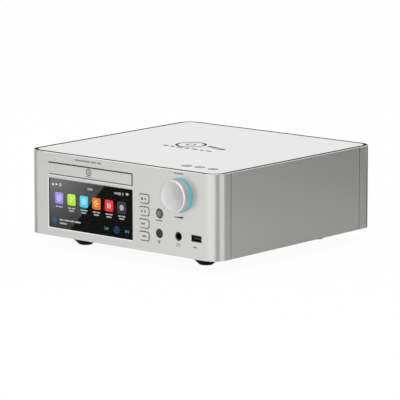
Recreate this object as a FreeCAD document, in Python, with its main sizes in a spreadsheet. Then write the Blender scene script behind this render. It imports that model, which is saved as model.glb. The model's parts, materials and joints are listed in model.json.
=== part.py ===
"""Desktop disc player with a front drawer, a screen, four keys and a large rotary knob.

The case stands on four conical feet. X runs to the right, Y to the rear and Z up. The
origin is below the middle of the whole part, on the surface that the feet stand on.
All sizes are millimetres.
"""
import FreeCAD, Part
import math
import os
import re

import Sketcher

# Driving dimensions, each kept in one cell of the sheet
SIZES = {
    # Case
    "case_width": 284.0,
    "case_depth": 284.0,
    "case_height": 96.9,
    "corner_radius": 17.0,
    "wall_thickness": 5.0,
    "front_thickness": 7.0,
    "front_wrap": 24.9,
    "rear_wrap": 27.5,
    "seam_gap": 0.5,
    "edge_break": 0.6,
    "rim_width": 0.85,
    "shadow_gap_width": 4.25,
    "lid_thickness": 1.6,
    "top_plate_thickness": 1.0,
    "lid_clearance": 0.15,
    "floor_inset": 1.5,
    "floor_thickness": 2.0,
    "floor_clearance": 0.15,
    "vent_length": 20.8,
    "vent_width": 3.0,
    "vent_pitch": 8.0,
    "vent_row_offset": 26.0,
    # Feet
    "foot_height": 14.4,
    "foot_radius": 17.6,
    "foot_rest_radius": 7.85,
    "foot_cone_height": 9.9,
    "foot_side_inset": 50.8,
    "foot_end_inset": 42.4,
    "foot_recess_radius": 4.6,
    "foot_recess_depth": 8.0,
    # Screen
    "deck_offset": 45.0,
    "screen_low": 9.8,
    "screen_slot_gap": 4.8,
    "screen_corner_radius": 1.0,
    "screen_recess": 0.5,
    "screen_gap": 0.25,
    "glass_thickness": 1.8,
    "lcd_border": 3.0,
    "display_board_overlap": 2.8,
    "board_thickness": 1.6,
    # Drawer slot
    "slot_height": 13.6,
    "slot_top_margin": 11.5,
    "slot_corner_radius": 1.2,
    "slot_gap": 0.6,
    "slot_drop": 0.2,
    "drawer_front_thickness": 5.0,
    # Keys and the round controls
    "key_margin": 10.5,
    "key_width": 14.0,
    "key_height": 9.1,
    "key_low": 17.0,
    "key_pitch": 14.1,
    "key_corner_radius": 2.2,
    "key_gap": 0.45,
    "key_projection": 0.8,
    "key_edge": 0.42,
    "key_travel": 1.0,
    "flange_width": 1.4,
    "flange_thickness": 1.0,
    "flange_gap": 0.2,
    "standby_gap": 15.4,
    "standby_height": 45.1,
    "standby_radius": 4.8,
    "eye_gap": 15.2,
    "eye_height": 22.6,
    "eye_radius": 5.05,
    "eye_recess": 0.3,
    "switch_size": 6.0,
    "plunger_radius": 1.6,
    "plunger_length": 0.7,
    # Knob
    "knob_margin": 54.1,
    "knob_drop": 28.1,
    "knob_radius": 17.95,
    "knob_projection": 11.4,
    "knob_bevel": 0.9,
    "knob_wall": 3.2,
    "knob_face_thickness": 3.6,
    "knob_boss_radius": 5.6,
    "knob_gap": 0.4,
    "ring_show": 1.35,
    "ring_cover": 1.75,
    "ring_projection": 1.4,
    "ring_groove_depth": 1.0,
    "shaft_radius": 3.0,
    "bushing_radius": 4.6,
    "encoder_size": 14.0,
    "running_clearance": 0.05,
    "loose_clearance": 0.3,
    # Front sockets
    "jack_margin": 54.9,
    "jack_height": 22.8,
    "jack_mouth_radius": 4.55,
    "jack_bore_radius": 3.25,
    "jack_depth": 17.0,
    "jack_body_size": 11.4,
    "usb_margin": 29.2,
    "usb_height": 23.1,
    "usb_mouth_width": 14.8,
    "usb_mouth_height": 7.4,
    "usb_shell": 0.5,
    "usb_depth": 15.0,
    "usb_tongue_width": 11.0,
    "usb_tongue_thickness": 1.7,
    "usb_tongue_recess": 6.2,
    # Control board
    "control_board_gap": 5.0,
    "control_board_side_gap": 5.1,
    "control_board_low": 7.0,
    "control_board_top_gap": 3.3,
    "post_radius": 2.6,
    "post_inset": 4.5,
    "low_post_offset": 21.0,
    "low_post_height": 13.5,
    # Tray
    "tray_rim": 2.0,
    "tray_side_margin": 1.7,
    "tray_length": 165.0,
    "tray_slab": 6.0,
    "tray_skirt_height": 2.8,
    "tray_skirt_width": 3.0,
    "tray_rise": 4.4,
    "tray_margin": 5.5,
    "disc_radius": 60.5,
    "well_depth": 2.2,
    "small_disc_radius": 40.5,
    "small_well_depth": 1.4,
    "tray_slot_width": 38.0,
    # Loader chassis
    "loader_setback": 2.5,
    "loader_tail": 26.5,
    "loader_wall": 4.0,
    "cradle_room": 11.5,
    "loader_floor": 2.5,
    "lip_cover": 2.3,
    "tray_clearance": 0.4,
    "ledge_width": 3.0,
    "ledge_thickness": 1.5,
    "lip_width": 3.0,
    "lip_thickness": 1.5,
    "well_gap": 4.0,
    "well_opening_front": 22.0,
    "well_opening_rear": 84.0,
    "stand_inset": 3.0,
    "stand_thickness": 1.5,
    "stand_flange": 9.0,
    "stand_length": 150.0,
    "loader_screw_inset": 8.0,
    # Loading gear train
    "gear_module": 1.0,
    "root_factor": 1.25,
    "pressure_angle": 20.0,
    "pinion_teeth": 20.0,
    "wheel_teeth": 36.0,
    "drive_teeth": 16.0,
    "tooth_thinning": 0.14,
    "gear_thickness": 3.4,
    "rack_bar": 4.0,
    "rack_height": 4.0,
    "wheel_gap": 1.0,
    "gear_gap": 4.0,
    "gear_bore_gap": 0.05,
    "axle_radius": 1.5,
    "boss_radius": 3.4,
    "pulley_radius": 13.0,
    "pulley_floor_radius": 11.5,
    "motor_pulley_radius": 4.4,
    "motor_pulley_floor_radius": 2.8,
    "pulley_height": 4.8,
    "pulley_gap": 3.3,
    "belt_gap": 0.2,
    "belt_width": 1.2,
    "motor_reach": 34.5,
    "loading_motor_radius": 10.0,
    "loading_motor_height": 15.0,
    "motor_shaft_radius": 1.0,
    # Cradle with the turntable and the sled
    "spindle_gap": 1.0,
    "cradle_thickness": 2.5,
    "cradle_width": 88.0,
    "cradle_front": 18.0,
    "cradle_tail": 5.0,
    "pivot_setback": 92.0,
    "pivot_radius": 2.0,
    "pivot_lug_gap": 2.0,
    "pivot_lug_thickness": 4.0,
    "pivot_lug_width": 11.0,
    "sled_window_width": 30.0,
    "sled_window_front": 14.0,
    "sled_window_length": 60.0,
    "spindle_motor_radius": 12.0,
    "spindle_motor_height": 10.1,
    "platter_radius": 14.5,
    "platter_thickness": 2.4,
    "platter_lift": 0.8,
    "hub_radius": 7.4,
    "hub_taper": 0.9,
    "hub_height": 2.4,
    "rod_radius": 1.5,
    "rod_offset": 20.0,
    "rod_height": 3.1,
    "rod_front": 7.0,
    "rod_rear": 78.0,
    "rod_block_width": 6.0,
    "rod_block_length": 5.0,
    "rod_block_height": 5.4,
    "sled_end_gap": 1.0,
    "sled_length": 22.0,
    "sled_side": 4.0,
    "sled_height": 5.0,
    "sled_clearance": 0.7,
    "sled_keel_width": 26.0,
    "sled_keel_height": 4.5,
    "lens_tower_radius": 6.0,
    "lens_tower_height": 3.4,
    "lens_radius": 3.6,
    "lens_height": 0.9,
    "sled_gear_module": 0.8,
    "sled_gear_teeth": 20.0,
    "sled_gear_setback": 34.0,
    "sled_gear_thickness": 3.0,
    "sled_rack_bar": 2.5,
    "sled_rack_front": 28.0,
    "sled_rack_rear": 14.0,
    "sled_motor_radius": 8.5,
    "sled_motor_height": 11.0,
    # Clamp
    "bridge_width": 32.0,
    "bridge_thickness": 1.6,
    "puck_play": 0.5,
    "puck_flange_radius": 15.0,
    "puck_neck_radius": 11.0,
    "puck_flange_thickness": 2.0,
    "puck_drop": 2.1,
    "puck_recess_radius": 8.4,
    "puck_recess_depth": 1.6,
    # Boards inside
    "standoff_height": 6.1,
    "standoff_radius": 3.0,
    "board_side_gap": 3.0,
    "main_board_gap": 0.9,
    "main_board_setback": 32.0,
    "main_board_length": 160.0,
    "dac_board_width": 88.0,
    "dac_board_setback": 32.0,
    "dac_board_gap": 12.0,
    "power_board_width": 88.0,
    "power_board_length": 52.0,
    "power_board_inset": 24.0,
    "board_hole_inset": 4.5,
    "chip_size": 14.4,
    "small_chip_size": 7.2,
    "chip_height": 2.4,
    "tall_chip_height": 4.8,
    "transformer_radius": 38.0,
    "transformer_bore": 10.0,
    "transformer_height": 34.0,
    "transformer_side_gap": 17.0,
    "transformer_end_gap": 6.0,
    "transformer_round": 7.0,
    "capacitor_radius": 8.0,
    "capacitor_height": 28.0,
    "capacitor_gap": 4.0,
    "capacitor_inset": 14.4,
    "capacitor_setback": 35.4,
    "sink_setback": 8.3,
    "sink_length": 60.0,
    "sink_height": 26.0,
    "fin_thickness": 1.4,
    "fin_pitch": 4.0,
    "fin_depth": 9.0,
    # Rear
    "rear_window_margin": 24.0,
    "rear_window_low": 10.0,
    "rear_window_top": 12.9,
    "rear_window_radius": 3.0,
    "rear_plate_thickness": 1.5,
    "rear_plate_overlap": 6.0,
    "inlet_margin": 50.0,
    "inlet_height": 34.0,
    "inlet_wall": 1.0,
    "inlet_lip": 1.8,
    "inlet_cavity_width": 24.4,
    "inlet_cavity_tall": 16.6,
    "inlet_depth": 16.0,
    "inlet_body_depth": 20.0,
    "inlet_flange": 2.0,
    "blade_pitch": 7.2,
    "blade_rise": 2.0,
    "switch_pitch": 32.0,
    "switch_width": 15.0,
    "switch_tall": 21.0,
    "switch_wall": 1.6,
    "switch_depth": 12.0,
    "rocker_tilt": 8.0,
    "rocker_pin_radius": 0.8,
    "rocker_pin_depth": 3.2,
    "rocker_rise": 4.9,
    "rocker_keel": 2.2,
    "rocker_keel_half": 3.6,
    "rocker_gap": 0.55,
    "phono_gap": 36.0,
    "phono_height": 34.0,
    "phono_pitch": 24.0,
    "phono_radius": 4.15,
    "phono_bore_radius": 1.7,
    "phono_length": 9.0,
    "phono_base_radius": 6.2,
    "network_pitch": 36.0,
    "network_width": 16.0,
    "network_tall": 13.5,
    "network_wall": 1.5,
    "network_depth": 14.0,
    "network_body_depth": 18.0,
    "antenna_margin": 38.0,
    "antenna_drop": 14.0,
    "antenna_radius": 3.1,
    "antenna_nut_radius": 4.6,
    "post_projection": 6.0,
    # Fasteners
    "screw_radius": 1.5,
    "screw_head_radius": 2.9,
    "screw_head_height": 1.8,
    "screw_length": 5.0,
    "foot_screw_radius": 2.0,
    "foot_screw_head_radius": 3.8,
    "foot_screw_head_height": 2.6,
    "corner_block_width": 12.0,
    "corner_block_length": 34.0,
    "corner_block_height": 16.0,
}

# Places worked out from the driving dimensions, kept in a second sheet
PLACES = {
    # Case
    "front_y": "knob_projection - (case_depth + knob_projection + post_projection) / 2",
    "rear_y": "front_y + case_depth",
    "mid_y": "front_y + case_depth / 2",
    "inner_front_y": "front_y + front_thickness",
    "inner_rear_y": "rear_y - wall_thickness",
    "inner_x": "case_width / 2 - wall_thickness",
    "case_low": "foot_height",
    "case_top": "case_low + case_height",
    "floor_low": "case_low + floor_inset",
    "floor_top": "floor_low + floor_thickness",
    "lid_low": "case_top - top_plate_thickness - lid_thickness",
    "lid_inset": "rim_width + lid_clearance",
    "plate_inset": "rim_width + shadow_gap_width",
    "front_seam_y": "front_y + front_wrap",
    "rear_seam_y": "rear_y - rear_wrap",
    "boards_right_x": "inner_x - corner_block_width - board_side_gap",
    # Drawer slot and screen
    "deck_x": "-deck_offset",
    "tray_width": "2 * (disc_radius + tray_rim)",
    "slot_width": "tray_width + 2 * tray_side_margin",
    "slot_z": "case_top - slot_top_margin - slot_height / 2",
    "screen_width": "slot_width",
    "screen_height": "slot_z - slot_height / 2 - screen_slot_gap - case_low - screen_low",
    "screen_z": "case_low + screen_low + screen_height / 2",
    "lcd_thickness": "front_thickness - screen_recess - glass_thickness",
    # Controls and front sockets
    "key_x": "deck_x + slot_width / 2 + key_margin + key_width / 2",
    "standby_x": "key_x + key_width / 2 + standby_gap",
    "eye_x": "key_x + key_width / 2 + eye_gap",
    "knob_x": "case_width / 2 - knob_margin",
    "knob_z": "case_top - knob_drop",
    "ring_radius": "knob_radius + ring_show",
    "ring_inner_radius": "knob_radius - ring_cover",
    "jack_x": "case_width / 2 - jack_margin",
    "jack_z": "case_low + jack_height",
    "usb_x": "case_width / 2 - usb_margin",
    "usb_z": "case_low + usb_height",
    # Tray
    "tray_front_y": "front_y + drawer_front_thickness",
    "tray_top": "slot_z + tray_rise",
    "slab_low": "tray_top - tray_slab",
    "tray_low": "slab_low - tray_skirt_height",
    "disc_y": "tray_front_y + tray_margin + disc_radius",
    "well_low": "tray_top - well_depth",
    # Turntable and cradle
    "platter_top": "well_low + platter_lift",
    "platter_low": "platter_top - platter_thickness",
    "cradle_top": "platter_low - spindle_gap - spindle_motor_height",
    "cradle_low": "cradle_top - cradle_thickness",
    "cradle_rear": "pivot_setback + cradle_tail",
    "pivot_y": "disc_y + pivot_setback",
    "pivot_z": "cradle_low + cradle_thickness / 2",
    "rod_z": "cradle_top + rod_height",
    "sled_width": "2 * (rod_offset + sled_side)",
    "sled_start": "spindle_motor_radius + sled_end_gap + sled_length / 2",
    "sled_y": "disc_y + sled_start",
    "sled_low": "cradle_top + sled_clearance",
    "sled_top": "sled_low + sled_height",
    "sled_gear_radius": "sled_gear_module * sled_gear_teeth / 2",
    "sled_root": "root_factor * sled_gear_module",
    "sled_pitch_x": "deck_x + sled_width / 2 + sled_rack_bar + sled_root",
    "sled_gear_x": "sled_pitch_x + sled_gear_radius",
    "sled_gear_y": "disc_y + sled_gear_setback",
    # Loader
    "loader_front_y": "inner_front_y + loader_setback",
    "loader_length": "pivot_y + loader_tail - loader_front_y",
    "loader_inner_half": "tray_width / 2 + tray_clearance",
    "loader_half": "loader_inner_half + loader_wall",
    "loader_floor_top": "cradle_low - cradle_room",
    "loader_low": "loader_floor_top - loader_floor",
    "loader_top": "tray_top + loose_clearance + lip_thickness + lip_cover",
    "well_opening_width": "cradle_width + 2 * well_gap",
    "bridge_top": "loader_top + bridge_thickness",
    "bridge_hole_radius": "puck_neck_radius + puck_play",
    "puck_low": "loader_top - puck_drop",
    "stand_front_y": "loader_front_y + (loader_length - stand_length) / 2",
    # Gear train
    "pinion_radius": "gear_module * pinion_teeth / 2",
    "wheel_radius": "gear_module * wheel_teeth / 2",
    "drive_radius": "gear_module * drive_teeth / 2",
    "wheel_room": "wheel_radius + gear_module",
    "tray_gear_x": "deck_x - loader_inner_half + ledge_width + wheel_gap + wheel_room",
    "rack_pitch_x": "tray_gear_x - pinion_radius",
    "gear_y": "inner_front_y + gear_gap + wheel_room",
    "drive_x": "tray_gear_x + wheel_radius + drive_radius",
    "motor_x": "drive_x + motor_reach",
    "rack_low": "slab_low - rack_height",
    "pinion_low": "rack_low - loose_clearance",
    "wheel_low": "pinion_low - gear_thickness",
    "pulley_low": "wheel_low - pulley_gap - pulley_height",
    # Boards
    "board_front_y": "inner_front_y + control_board_gap",
    "control_board_left": "deck_x + loader_half + control_board_side_gap",
    "control_board_right": "boards_right_x",
    "control_board_height": "lid_low - control_board_top_gap - case_low - control_board_low",
    "board_low": "floor_top + standoff_height",
    "board_top": "board_low + board_thickness",
    "main_board_width": "2 * (loader_half - stand_inset - stand_flange - main_board_gap)",
    "dac_board_left": "boards_right_x - dac_board_width",
    "power_board_left": "boards_right_x - power_board_width",
    "power_board_y": "rear_y - power_board_inset - power_board_length",
    "transformer_x": "inner_x - transformer_side_gap - transformer_radius",
    "transformer_y": "power_board_y - transformer_end_gap - transformer_radius",
    "transformer_front_y": "transformer_y - transformer_radius",
    "dac_board_y": "front_y + dac_board_setback",
    "dac_board_length": "transformer_front_y - dac_board_gap - dac_board_y",
    # Rear
    "rear_plate_y": "inner_rear_y - rear_plate_thickness",
    "rear_window_width": "case_width - 2 * rear_window_margin",
    "rear_window_height": "case_height - rear_window_low - rear_window_top",
    "inlet_x": "case_width / 2 - inlet_margin",
    "inlet_z": "case_low + inlet_height",
    "inlet_body_width": "inlet_cavity_width + 2 * inlet_wall",
    "inlet_body_tall": "inlet_cavity_tall + 2 * inlet_wall",
    "inlet_width": "inlet_body_width + 2 * inlet_lip",
    "inlet_tall": "inlet_body_tall + 2 * inlet_lip",
    "switch_x": "inlet_x - switch_pitch",
    "network_x": "switch_x - network_pitch",
    "phono_x": "network_x - phono_gap - 2 * phono_pitch",
    "phono_z": "case_low + phono_height",
    "antenna_x": "antenna_margin - case_width / 2",
    "antenna_pitch": "case_width - 2 * antenna_margin",
    "antenna_z": "case_low + rear_window_low + rear_window_height - antenna_drop",
    "post_tip_y": "rear_y + post_projection",
}

doc = FreeCAD.newDocument("DiscPlayer")
dims = doc.addObject("Spreadsheet::Sheet", "dims")
places = doc.addObject("Spreadsheet::Sheet", "places")
NODES = {}

UPRIGHT = FreeCAD.Rotation()
FACING_FRONT = FreeCAD.Rotation(FreeCAD.Vector(1, 0, 0), 90)
ALONG = {
    "x": FreeCAD.Rotation(FreeCAD.Vector(0, 1, 0), 90),
    "y": FreeCAD.Rotation(FreeCAD.Vector(1, 0, 0), -90),
    "z": UPRIGHT,
}


def linked(text, inside_places=False):
    """The formula with each named size or place written as its cell."""

    def cell(match):
        word = match.group(0)
        if word in SIZES:
            return "dims." + word
        if word in PLACES and not inside_places:
            return "places." + word
        return word

    return re.sub(r"[a-z][a-z_0-9]*", cell, text)


def value(text):
    """The number that a formula gives with the present sizes."""
    return float(dims.evalExpression(linked(text)))


def fill_sheets():
    """Write the sizes and the places into their sheets."""
    for row, (alias, size) in enumerate(SIZES.items(), 1):
        dims.set(f"A{row}", alias)
        dims.set(f"B{row}", str(size))
        dims.setAlias(f"B{row}", alias)
    for row, (alias, text) in enumerate(PLACES.items(), 1):
        places.set(f"A{row}", alias)
        places.set(f"B{row}", "=" + linked(text, inside_places=True))
        places.setAlias(f"B{row}", alias)
    doc.recompute()


def bind(item, **formulas):
    """Tie properties of an object to formulas on the sheets."""
    for name, text in formulas.items():
        item.setExpression(name, linked(text))


def put(item, at, turn=UPRIGHT):
    """Turn an object, and tie its position to three formulas."""
    item.Placement = FreeCAD.Placement(FreeCAD.Vector(), turn)
    for axis, text in zip("xyz", at):
        item.setExpression(f"Placement.Base.{axis}", linked(text))
    return item


def node(label, item):
    """Name an object as one sub-part of the player."""
    item.Label = label
    NODES[label] = item
    return item


def box(at, size):
    """A block from its lowest corner, with formulas for its place and size."""
    item = doc.addObject("Part::Box", "Block")
    bind(item, Length=size[0], Width=size[1], Height=size[2])
    return put(item, at)


def rod(at, radius, length, axis="z"):
    """A cylinder that starts at a point and runs along an axis."""
    item = doc.addObject("Part::Cylinder", "Round")
    bind(item, Radius=radius, Height=length)
    return put(item, at, ALONG[axis])


def join(pieces):
    """One solid made of several that meet."""
    item = doc.addObject("Part::MultiFuse", "Joined")
    item.Shapes = pieces
    return item


def group(pieces):
    """Several separate solids kept in one sub-part."""
    item = doc.addObject("Part::Compound", "Group")
    item.Links = pieces
    return item


def cut(base, tools):
    """A solid with other solids taken away."""
    item = doc.addObject("Part::Cut", "Cut")
    item.Base = base
    item.Tool = tools[0] if len(tools) == 1 else join(tools)
    return item


def common(first, second):
    """The space that two solids share."""
    item = doc.addObject("Part::Common", "Shared")
    item.Base = first
    item.Tool = second
    return item


def tube(at, outer, inner, length, axis="z"):
    """A ring or pipe with a through bore."""
    return cut(rod(at, outer, length, axis), [rod(at, inner, length, axis)])


def origin_plane(body, role):
    """One of a body's own origin planes."""
    return next(plane for plane in body.Origin.OriginFeatures if plane.Role == role)


def new_sketch(body, role):
    """An empty sketch on one of a body's own planes."""
    sketch = body.newObject("Sketcher::SketchObject", "Outline")
    sketch.AttachmentSupport = [(origin_plane(body, role), "")]
    sketch.MapMode = "FlatFace"
    return sketch


def pin(sketch, line, kind, text):
    """Hold a line's start at a formula's distance from the sketch origin."""
    amount = value(text)
    if text == "0":
        axis = -2 if kind == "DistanceX" else -1
        sketch.addConstraint(Sketcher.Constraint("PointOnObject", line, 1, axis))
    elif amount < 0:
        index = sketch.addConstraint(Sketcher.Constraint(kind, line, 1, -1, 1, -amount))
        sketch.setExpression(f"Constraints[{index}]", linked(f"-({text})"))
    else:
        index = sketch.addConstraint(Sketcher.Constraint(kind, -1, 1, line, 1, amount))
        sketch.setExpression(f"Constraints[{index}]", linked(text))


def draw_polygon(sketch, corners):
    """Draw a closed outline whose corners are all tied to formulas."""
    points = [FreeCAD.Vector(value(u), value(v), 0) for u, v in corners]
    count = len(points)
    for start, end in zip(points, points[1:] + points[:1]):
        sketch.addGeometry(Part.LineSegment(start, end), False)
    for line in range(count):
        before = (line - 1) % count
        sketch.addConstraint(Sketcher.Constraint("Coincident", before, 2, line, 1))
    for line, (u, v) in enumerate(corners):
        pin(sketch, line, "DistanceX", u)
        pin(sketch, line, "DistanceY", v)


def draw_rounded(sketch, width, depth, radius):
    """Draw a centred rectangle with round corners, as four lines and four arcs."""
    half_w, half_d, r = value(width) / 2, value(depth) / 2, value(radius)
    up = FreeCAD.Vector(0, 0, 1)
    spots = [(1, -1), (1, 1), (-1, 1), (-1, -1)]
    for corner, (sx, sy) in enumerate(spots):
        centre = FreeCAD.Vector(sx * (half_w - r), sy * (half_d - r), 0)
        circle = Part.Circle(centre, up, r)
        start = math.radians(90 * corner - 90)
        sketch.addGeometry(Part.ArcOfCircle(circle, start, start + math.pi / 2), False)
    for corner in range(4):
        start = sketch.getPoint(corner, 2)
        end = sketch.getPoint((corner + 1) % 4, 1)
        sketch.addGeometry(Part.LineSegment(start, end), False)
        line = 4 + corner
        sketch.addConstraint(Sketcher.Constraint("Tangent", corner, 2, line, 1))
        sketch.addConstraint(Sketcher.Constraint("Tangent", line, 2, (corner + 1) % 4, 1))
    for line, kind in ((4, "Vertical"), (5, "Horizontal"), (6, "Vertical"), (7, "Horizontal")):
        sketch.addConstraint(Sketcher.Constraint(kind, line))
    for corner in range(1, 4):
        sketch.addConstraint(Sketcher.Constraint("Equal", 0, corner))
    index = sketch.addConstraint(Sketcher.Constraint("Radius", 0, r))
    sketch.setExpression(f"Constraints[{index}]", linked(radius))
    sides = (
        ("DistanceX", (-1, 1, 4, 1), half_w, width),
        ("DistanceX", (6, 1, -1, 1), half_w, width),
        ("DistanceY", (-1, 1, 5, 1), half_d, depth),
        ("DistanceY", (7, 1, -1, 1), half_d, depth),
    )
    for kind, ends, amount, text in sides:
        index = sketch.addConstraint(Sketcher.Constraint(kind, *ends, amount))
        sketch.setExpression(f"Constraints[{index}]", linked(f"({text}) / 2"))


def pad(body, sketch, height):
    """Raise a sketch by a formula's height."""
    raised = body.newObject("PartDesign::Pad", "Raised")
    raised.Profile = sketch
    bind(raised, Length=height)
    return body


def rounded(at, width, depth, height, radius, turn=UPRIGHT):
    """A slab with round corners, centred on a point that its base lies at."""
    body = doc.addObject("PartDesign::Body", "Slab")
    sketch = new_sketch(body, "XY_Plane")
    draw_rounded(sketch, width, depth, radius)
    return put(pad(body, sketch, height), at, turn)


def spun(at, corners, turn=UPRIGHT):
    """A solid of revolution: corners are radius and height along its axis."""
    body = doc.addObject("PartDesign::Body", "Turned")
    sketch = new_sketch(body, "XZ_Plane")
    draw_polygon(sketch, corners)
    turned = body.newObject("PartDesign::Revolution", "Revolved")
    turned.Profile = sketch
    turned.ReferenceAxis = (sketch, ["V_Axis"])
    turned.Angle = 360
    return put(body, at, turn)


def extruded(at, corners, length, turn=UPRIGHT):
    """A prism whose section is a polygon."""
    body = doc.addObject("PartDesign::Body", "Prism")
    sketch = new_sketch(body, "XY_Plane")
    draw_polygon(sketch, corners)
    return put(pad(body, sketch, length), at, turn)


def broken_edges(item, size, wanted):
    """The solid with a small chamfer on every edge that the test picks."""
    doc.recompute()
    item_edges = enumerate(item.Shape.Edges, 1)
    amount = value(size)
    picked = [(index, amount, amount) for index, edge in item_edges if wanted(edge)]
    chamfer = doc.addObject("Part::Chamfer", "Chamfered")
    chamfer.Base = item
    chamfer.Edges = picked
    return chamfer


def lies_at(edge, axis, amount):
    """Whether an edge lies wholly in the plane at one coordinate."""
    bounds = edge.BoundBox
    low = getattr(bounds, axis + "Min")
    high = getattr(bounds, axis + "Max")
    return abs(low - amount) < 1e-4 and abs(high - amount) < 1e-4


def solid_feature(name, shape):
    """An object whose shape is worked out by this script's own geometry."""
    item = doc.addObject("Part::Feature", name)
    item.Shape = shape
    return item


def involute_point(base_radius, radius, turn, side):
    """A point of an involute flank, mirrored for the other side of the tooth."""
    pressure = math.acos(min(1.0, base_radius / radius))
    angle = turn - side * (math.tan(pressure) - pressure)
    return radius * math.cos(angle), radius * math.sin(angle)


def gear_shape(module, teeth, thickness, thinning, first_tooth=0.0, steps=5):
    """A spur gear about Z from z = 0, with a tooth centred at the first tooth's angle."""
    count = int(round(teeth))
    pitch_radius = module * count / 2
    pressure = math.radians(value("pressure_angle"))
    base_radius = pitch_radius * math.cos(pressure)
    tip_radius = pitch_radius + module
    root_radius = pitch_radius - value("root_factor") * module
    start_radius = max(base_radius, root_radius)
    at_pitch = math.tan(pressure) - pressure
    half_tooth = (math.pi * module / 2 - thinning) / 2 / pitch_radius + at_pitch
    points = []
    for tooth in range(count):
        centre = first_tooth + 2 * math.pi * tooth / count
        flank = []
        for step in range(steps):
            radius = start_radius + (tip_radius - start_radius) * step / (steps - 1)
            flank.append(involute_point(base_radius, radius, centre + half_tooth, 1))
        other = []
        for step in range(steps):
            radius = tip_radius - (tip_radius - start_radius) * step / (steps - 1)
            other.append(involute_point(base_radius, radius, centre - half_tooth, -1))
        low = centre - half_tooth
        high = centre + half_tooth
        points.append((root_radius * math.cos(low), root_radius * math.sin(low)))
        points.extend(reversed(other))
        points.extend(reversed(flank))
        points.append((root_radius * math.cos(high), root_radius * math.sin(high)))
    return prism(points, thickness)


def rack_shape(module, start, end, bar, thickness, thinning, steps_from):
    """A rack along Y whose teeth point to +X from a pitch line at x = 0."""
    pitch = math.pi * module
    half_pitch_tooth = (pitch / 2 - thinning) / 2
    slope = math.tan(math.radians(value("pressure_angle")))
    tip = module
    root = -value("root_factor") * module
    points = [(root - bar, start), (root, start)]
    first = math.ceil((start - steps_from) / pitch + 0.5)
    last = math.floor((end - steps_from) / pitch - 0.5)
    for index in range(first, last):
        centre = steps_from + (index + 0.5) * pitch
        half_root = half_pitch_tooth - root * slope
        half_tip = half_pitch_tooth - tip * slope
        points.append((root, centre - half_root))
        points.append((tip, centre - half_tip))
        points.append((tip, centre + half_tip))
        points.append((root, centre + half_root))
    points.append((root, end))
    points.append((root - bar, end))
    return prism(points, thickness)


def prism(points, thickness):
    """A straight prism on a closed outline in the XY plane."""
    corners = [FreeCAD.Vector(x, y, 0) for x, y in points]
    wire = Part.makePolygon(corners + corners[:1])
    return Part.Face(wire).extrude(FreeCAD.Vector(0, 0, thickness))


def belt_outline(reach, first_radius, second_radius, thickness):
    """The space inside a belt round two pulleys, as one flat solid."""
    lean = math.asin((first_radius - second_radius) / reach)
    cos_lean = math.cos(lean)
    sin_lean = math.sin(lean)
    corners = [
        (first_radius * sin_lean, first_radius * cos_lean),
        (reach + second_radius * sin_lean, second_radius * cos_lean),
        (reach + second_radius * sin_lean, -second_radius * cos_lean),
        (first_radius * sin_lean, -first_radius * cos_lean),
    ]
    first = Part.makeCylinder(first_radius, thickness)
    second = Part.makeCylinder(second_radius, thickness, FreeCAD.Vector(reach, 0, 0))
    return prism(corners, thickness).fuse([first, second]).removeSplitter()


def place_shape(item, at, turn=UPRIGHT):
    """Tie the placement of a feature with a computed shape to formulas."""
    return put(item, at, turn)


# Case


def case_block(inset, low, height, radius_loss="0"):
    """A slab with the case's rounded plan, drawn in by an inset."""
    loss = inset if radius_loss == "0" else radius_loss
    return rounded(
        ("0", "mid_y", low),
        f"case_width - 2 * ({inset})",
        f"case_depth - 2 * ({inset})",
        height,
        f"corner_radius - ({loss})",
    )


def lid_rebate():
    """The step in the top of the walls that the lid lies in."""
    return case_block("rim_width", "lid_low", "case_height")


def wall_block(low_y, length):
    """A slice of the case's outer block between two planes across it."""
    outer = case_block("0 * rim_width", "case_low", "case_height", "0 * rim_width")
    slice_box = box(
        ("-case_width", low_y, "case_low - case_height"),
        ("2 * case_width", length, "3 * case_height"),
    )
    return common(outer, slice_box)


def front_cavity():
    """The hollow behind the front panel."""
    return rounded(
        ("0", "inner_front_y + case_depth / 2", "case_low - case_height"),
        "case_width - 2 * wall_thickness",
        "case_depth",
        "3 * case_height",
        "corner_radius - wall_thickness",
    )


def rear_cavity():
    """The hollow in front of the rear frame."""
    return rounded(
        ("0", "inner_rear_y - case_depth / 2", "case_low - case_height"),
        "case_width - 2 * wall_thickness",
        "case_depth",
        "3 * case_height",
        "corner_radius - wall_thickness",
    )


def front_hole(x, z, width, tall, radius):
    """A rounded rectangular hole through the front panel."""
    return rounded(
        (x, "inner_front_y + front_thickness", z),
        width,
        tall,
        "3 * front_thickness",
        radius,
        FACING_FRONT,
    )


def front_bore(x, z, radius):
    """A round hole through the front panel."""
    return rod((x, "front_y - front_thickness", z), radius, "3 * front_thickness", "y")


def key_height_formula(index):
    """The height of one key's centre above the floor."""
    return f"case_low + key_low + {index} * key_pitch"


def panel_openings():
    """Every hole in the front panel."""
    screen = front_hole(
        "deck_x", "screen_z", "screen_width", "screen_height", "screen_corner_radius"
    )
    slot = front_hole("deck_x", "slot_z", "slot_width", "slot_height", "slot_corner_radius")
    keys = [
        front_hole(
            "key_x",
            key_height_formula(index),
            "key_width + 2 * key_gap",
            "key_height + 2 * key_gap",
            "key_corner_radius + key_gap",
        )
        for index in range(4)
    ]
    standby = front_bore(
        "standby_x", "case_low + standby_height", "standby_radius + key_gap"
    )
    eye = front_bore("eye_x", "case_low + eye_height", "eye_radius")
    jack = front_bore("jack_x", "jack_z", "jack_mouth_radius")
    usb = front_hole("usb_x", "usb_z", "usb_mouth_width", "usb_mouth_height", "usb_shell")
    bushing = front_bore("knob_x", "knob_z", "bushing_radius + loose_clearance")
    groove = rod(
        ("knob_x", "front_y - front_thickness", "knob_z"),
        "ring_radius + loose_clearance / 2",
        "front_thickness + ring_groove_depth",
        "y",
    )
    return [screen, slot, *keys, standby, eye, jack, usb, bushing, groove]


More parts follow.
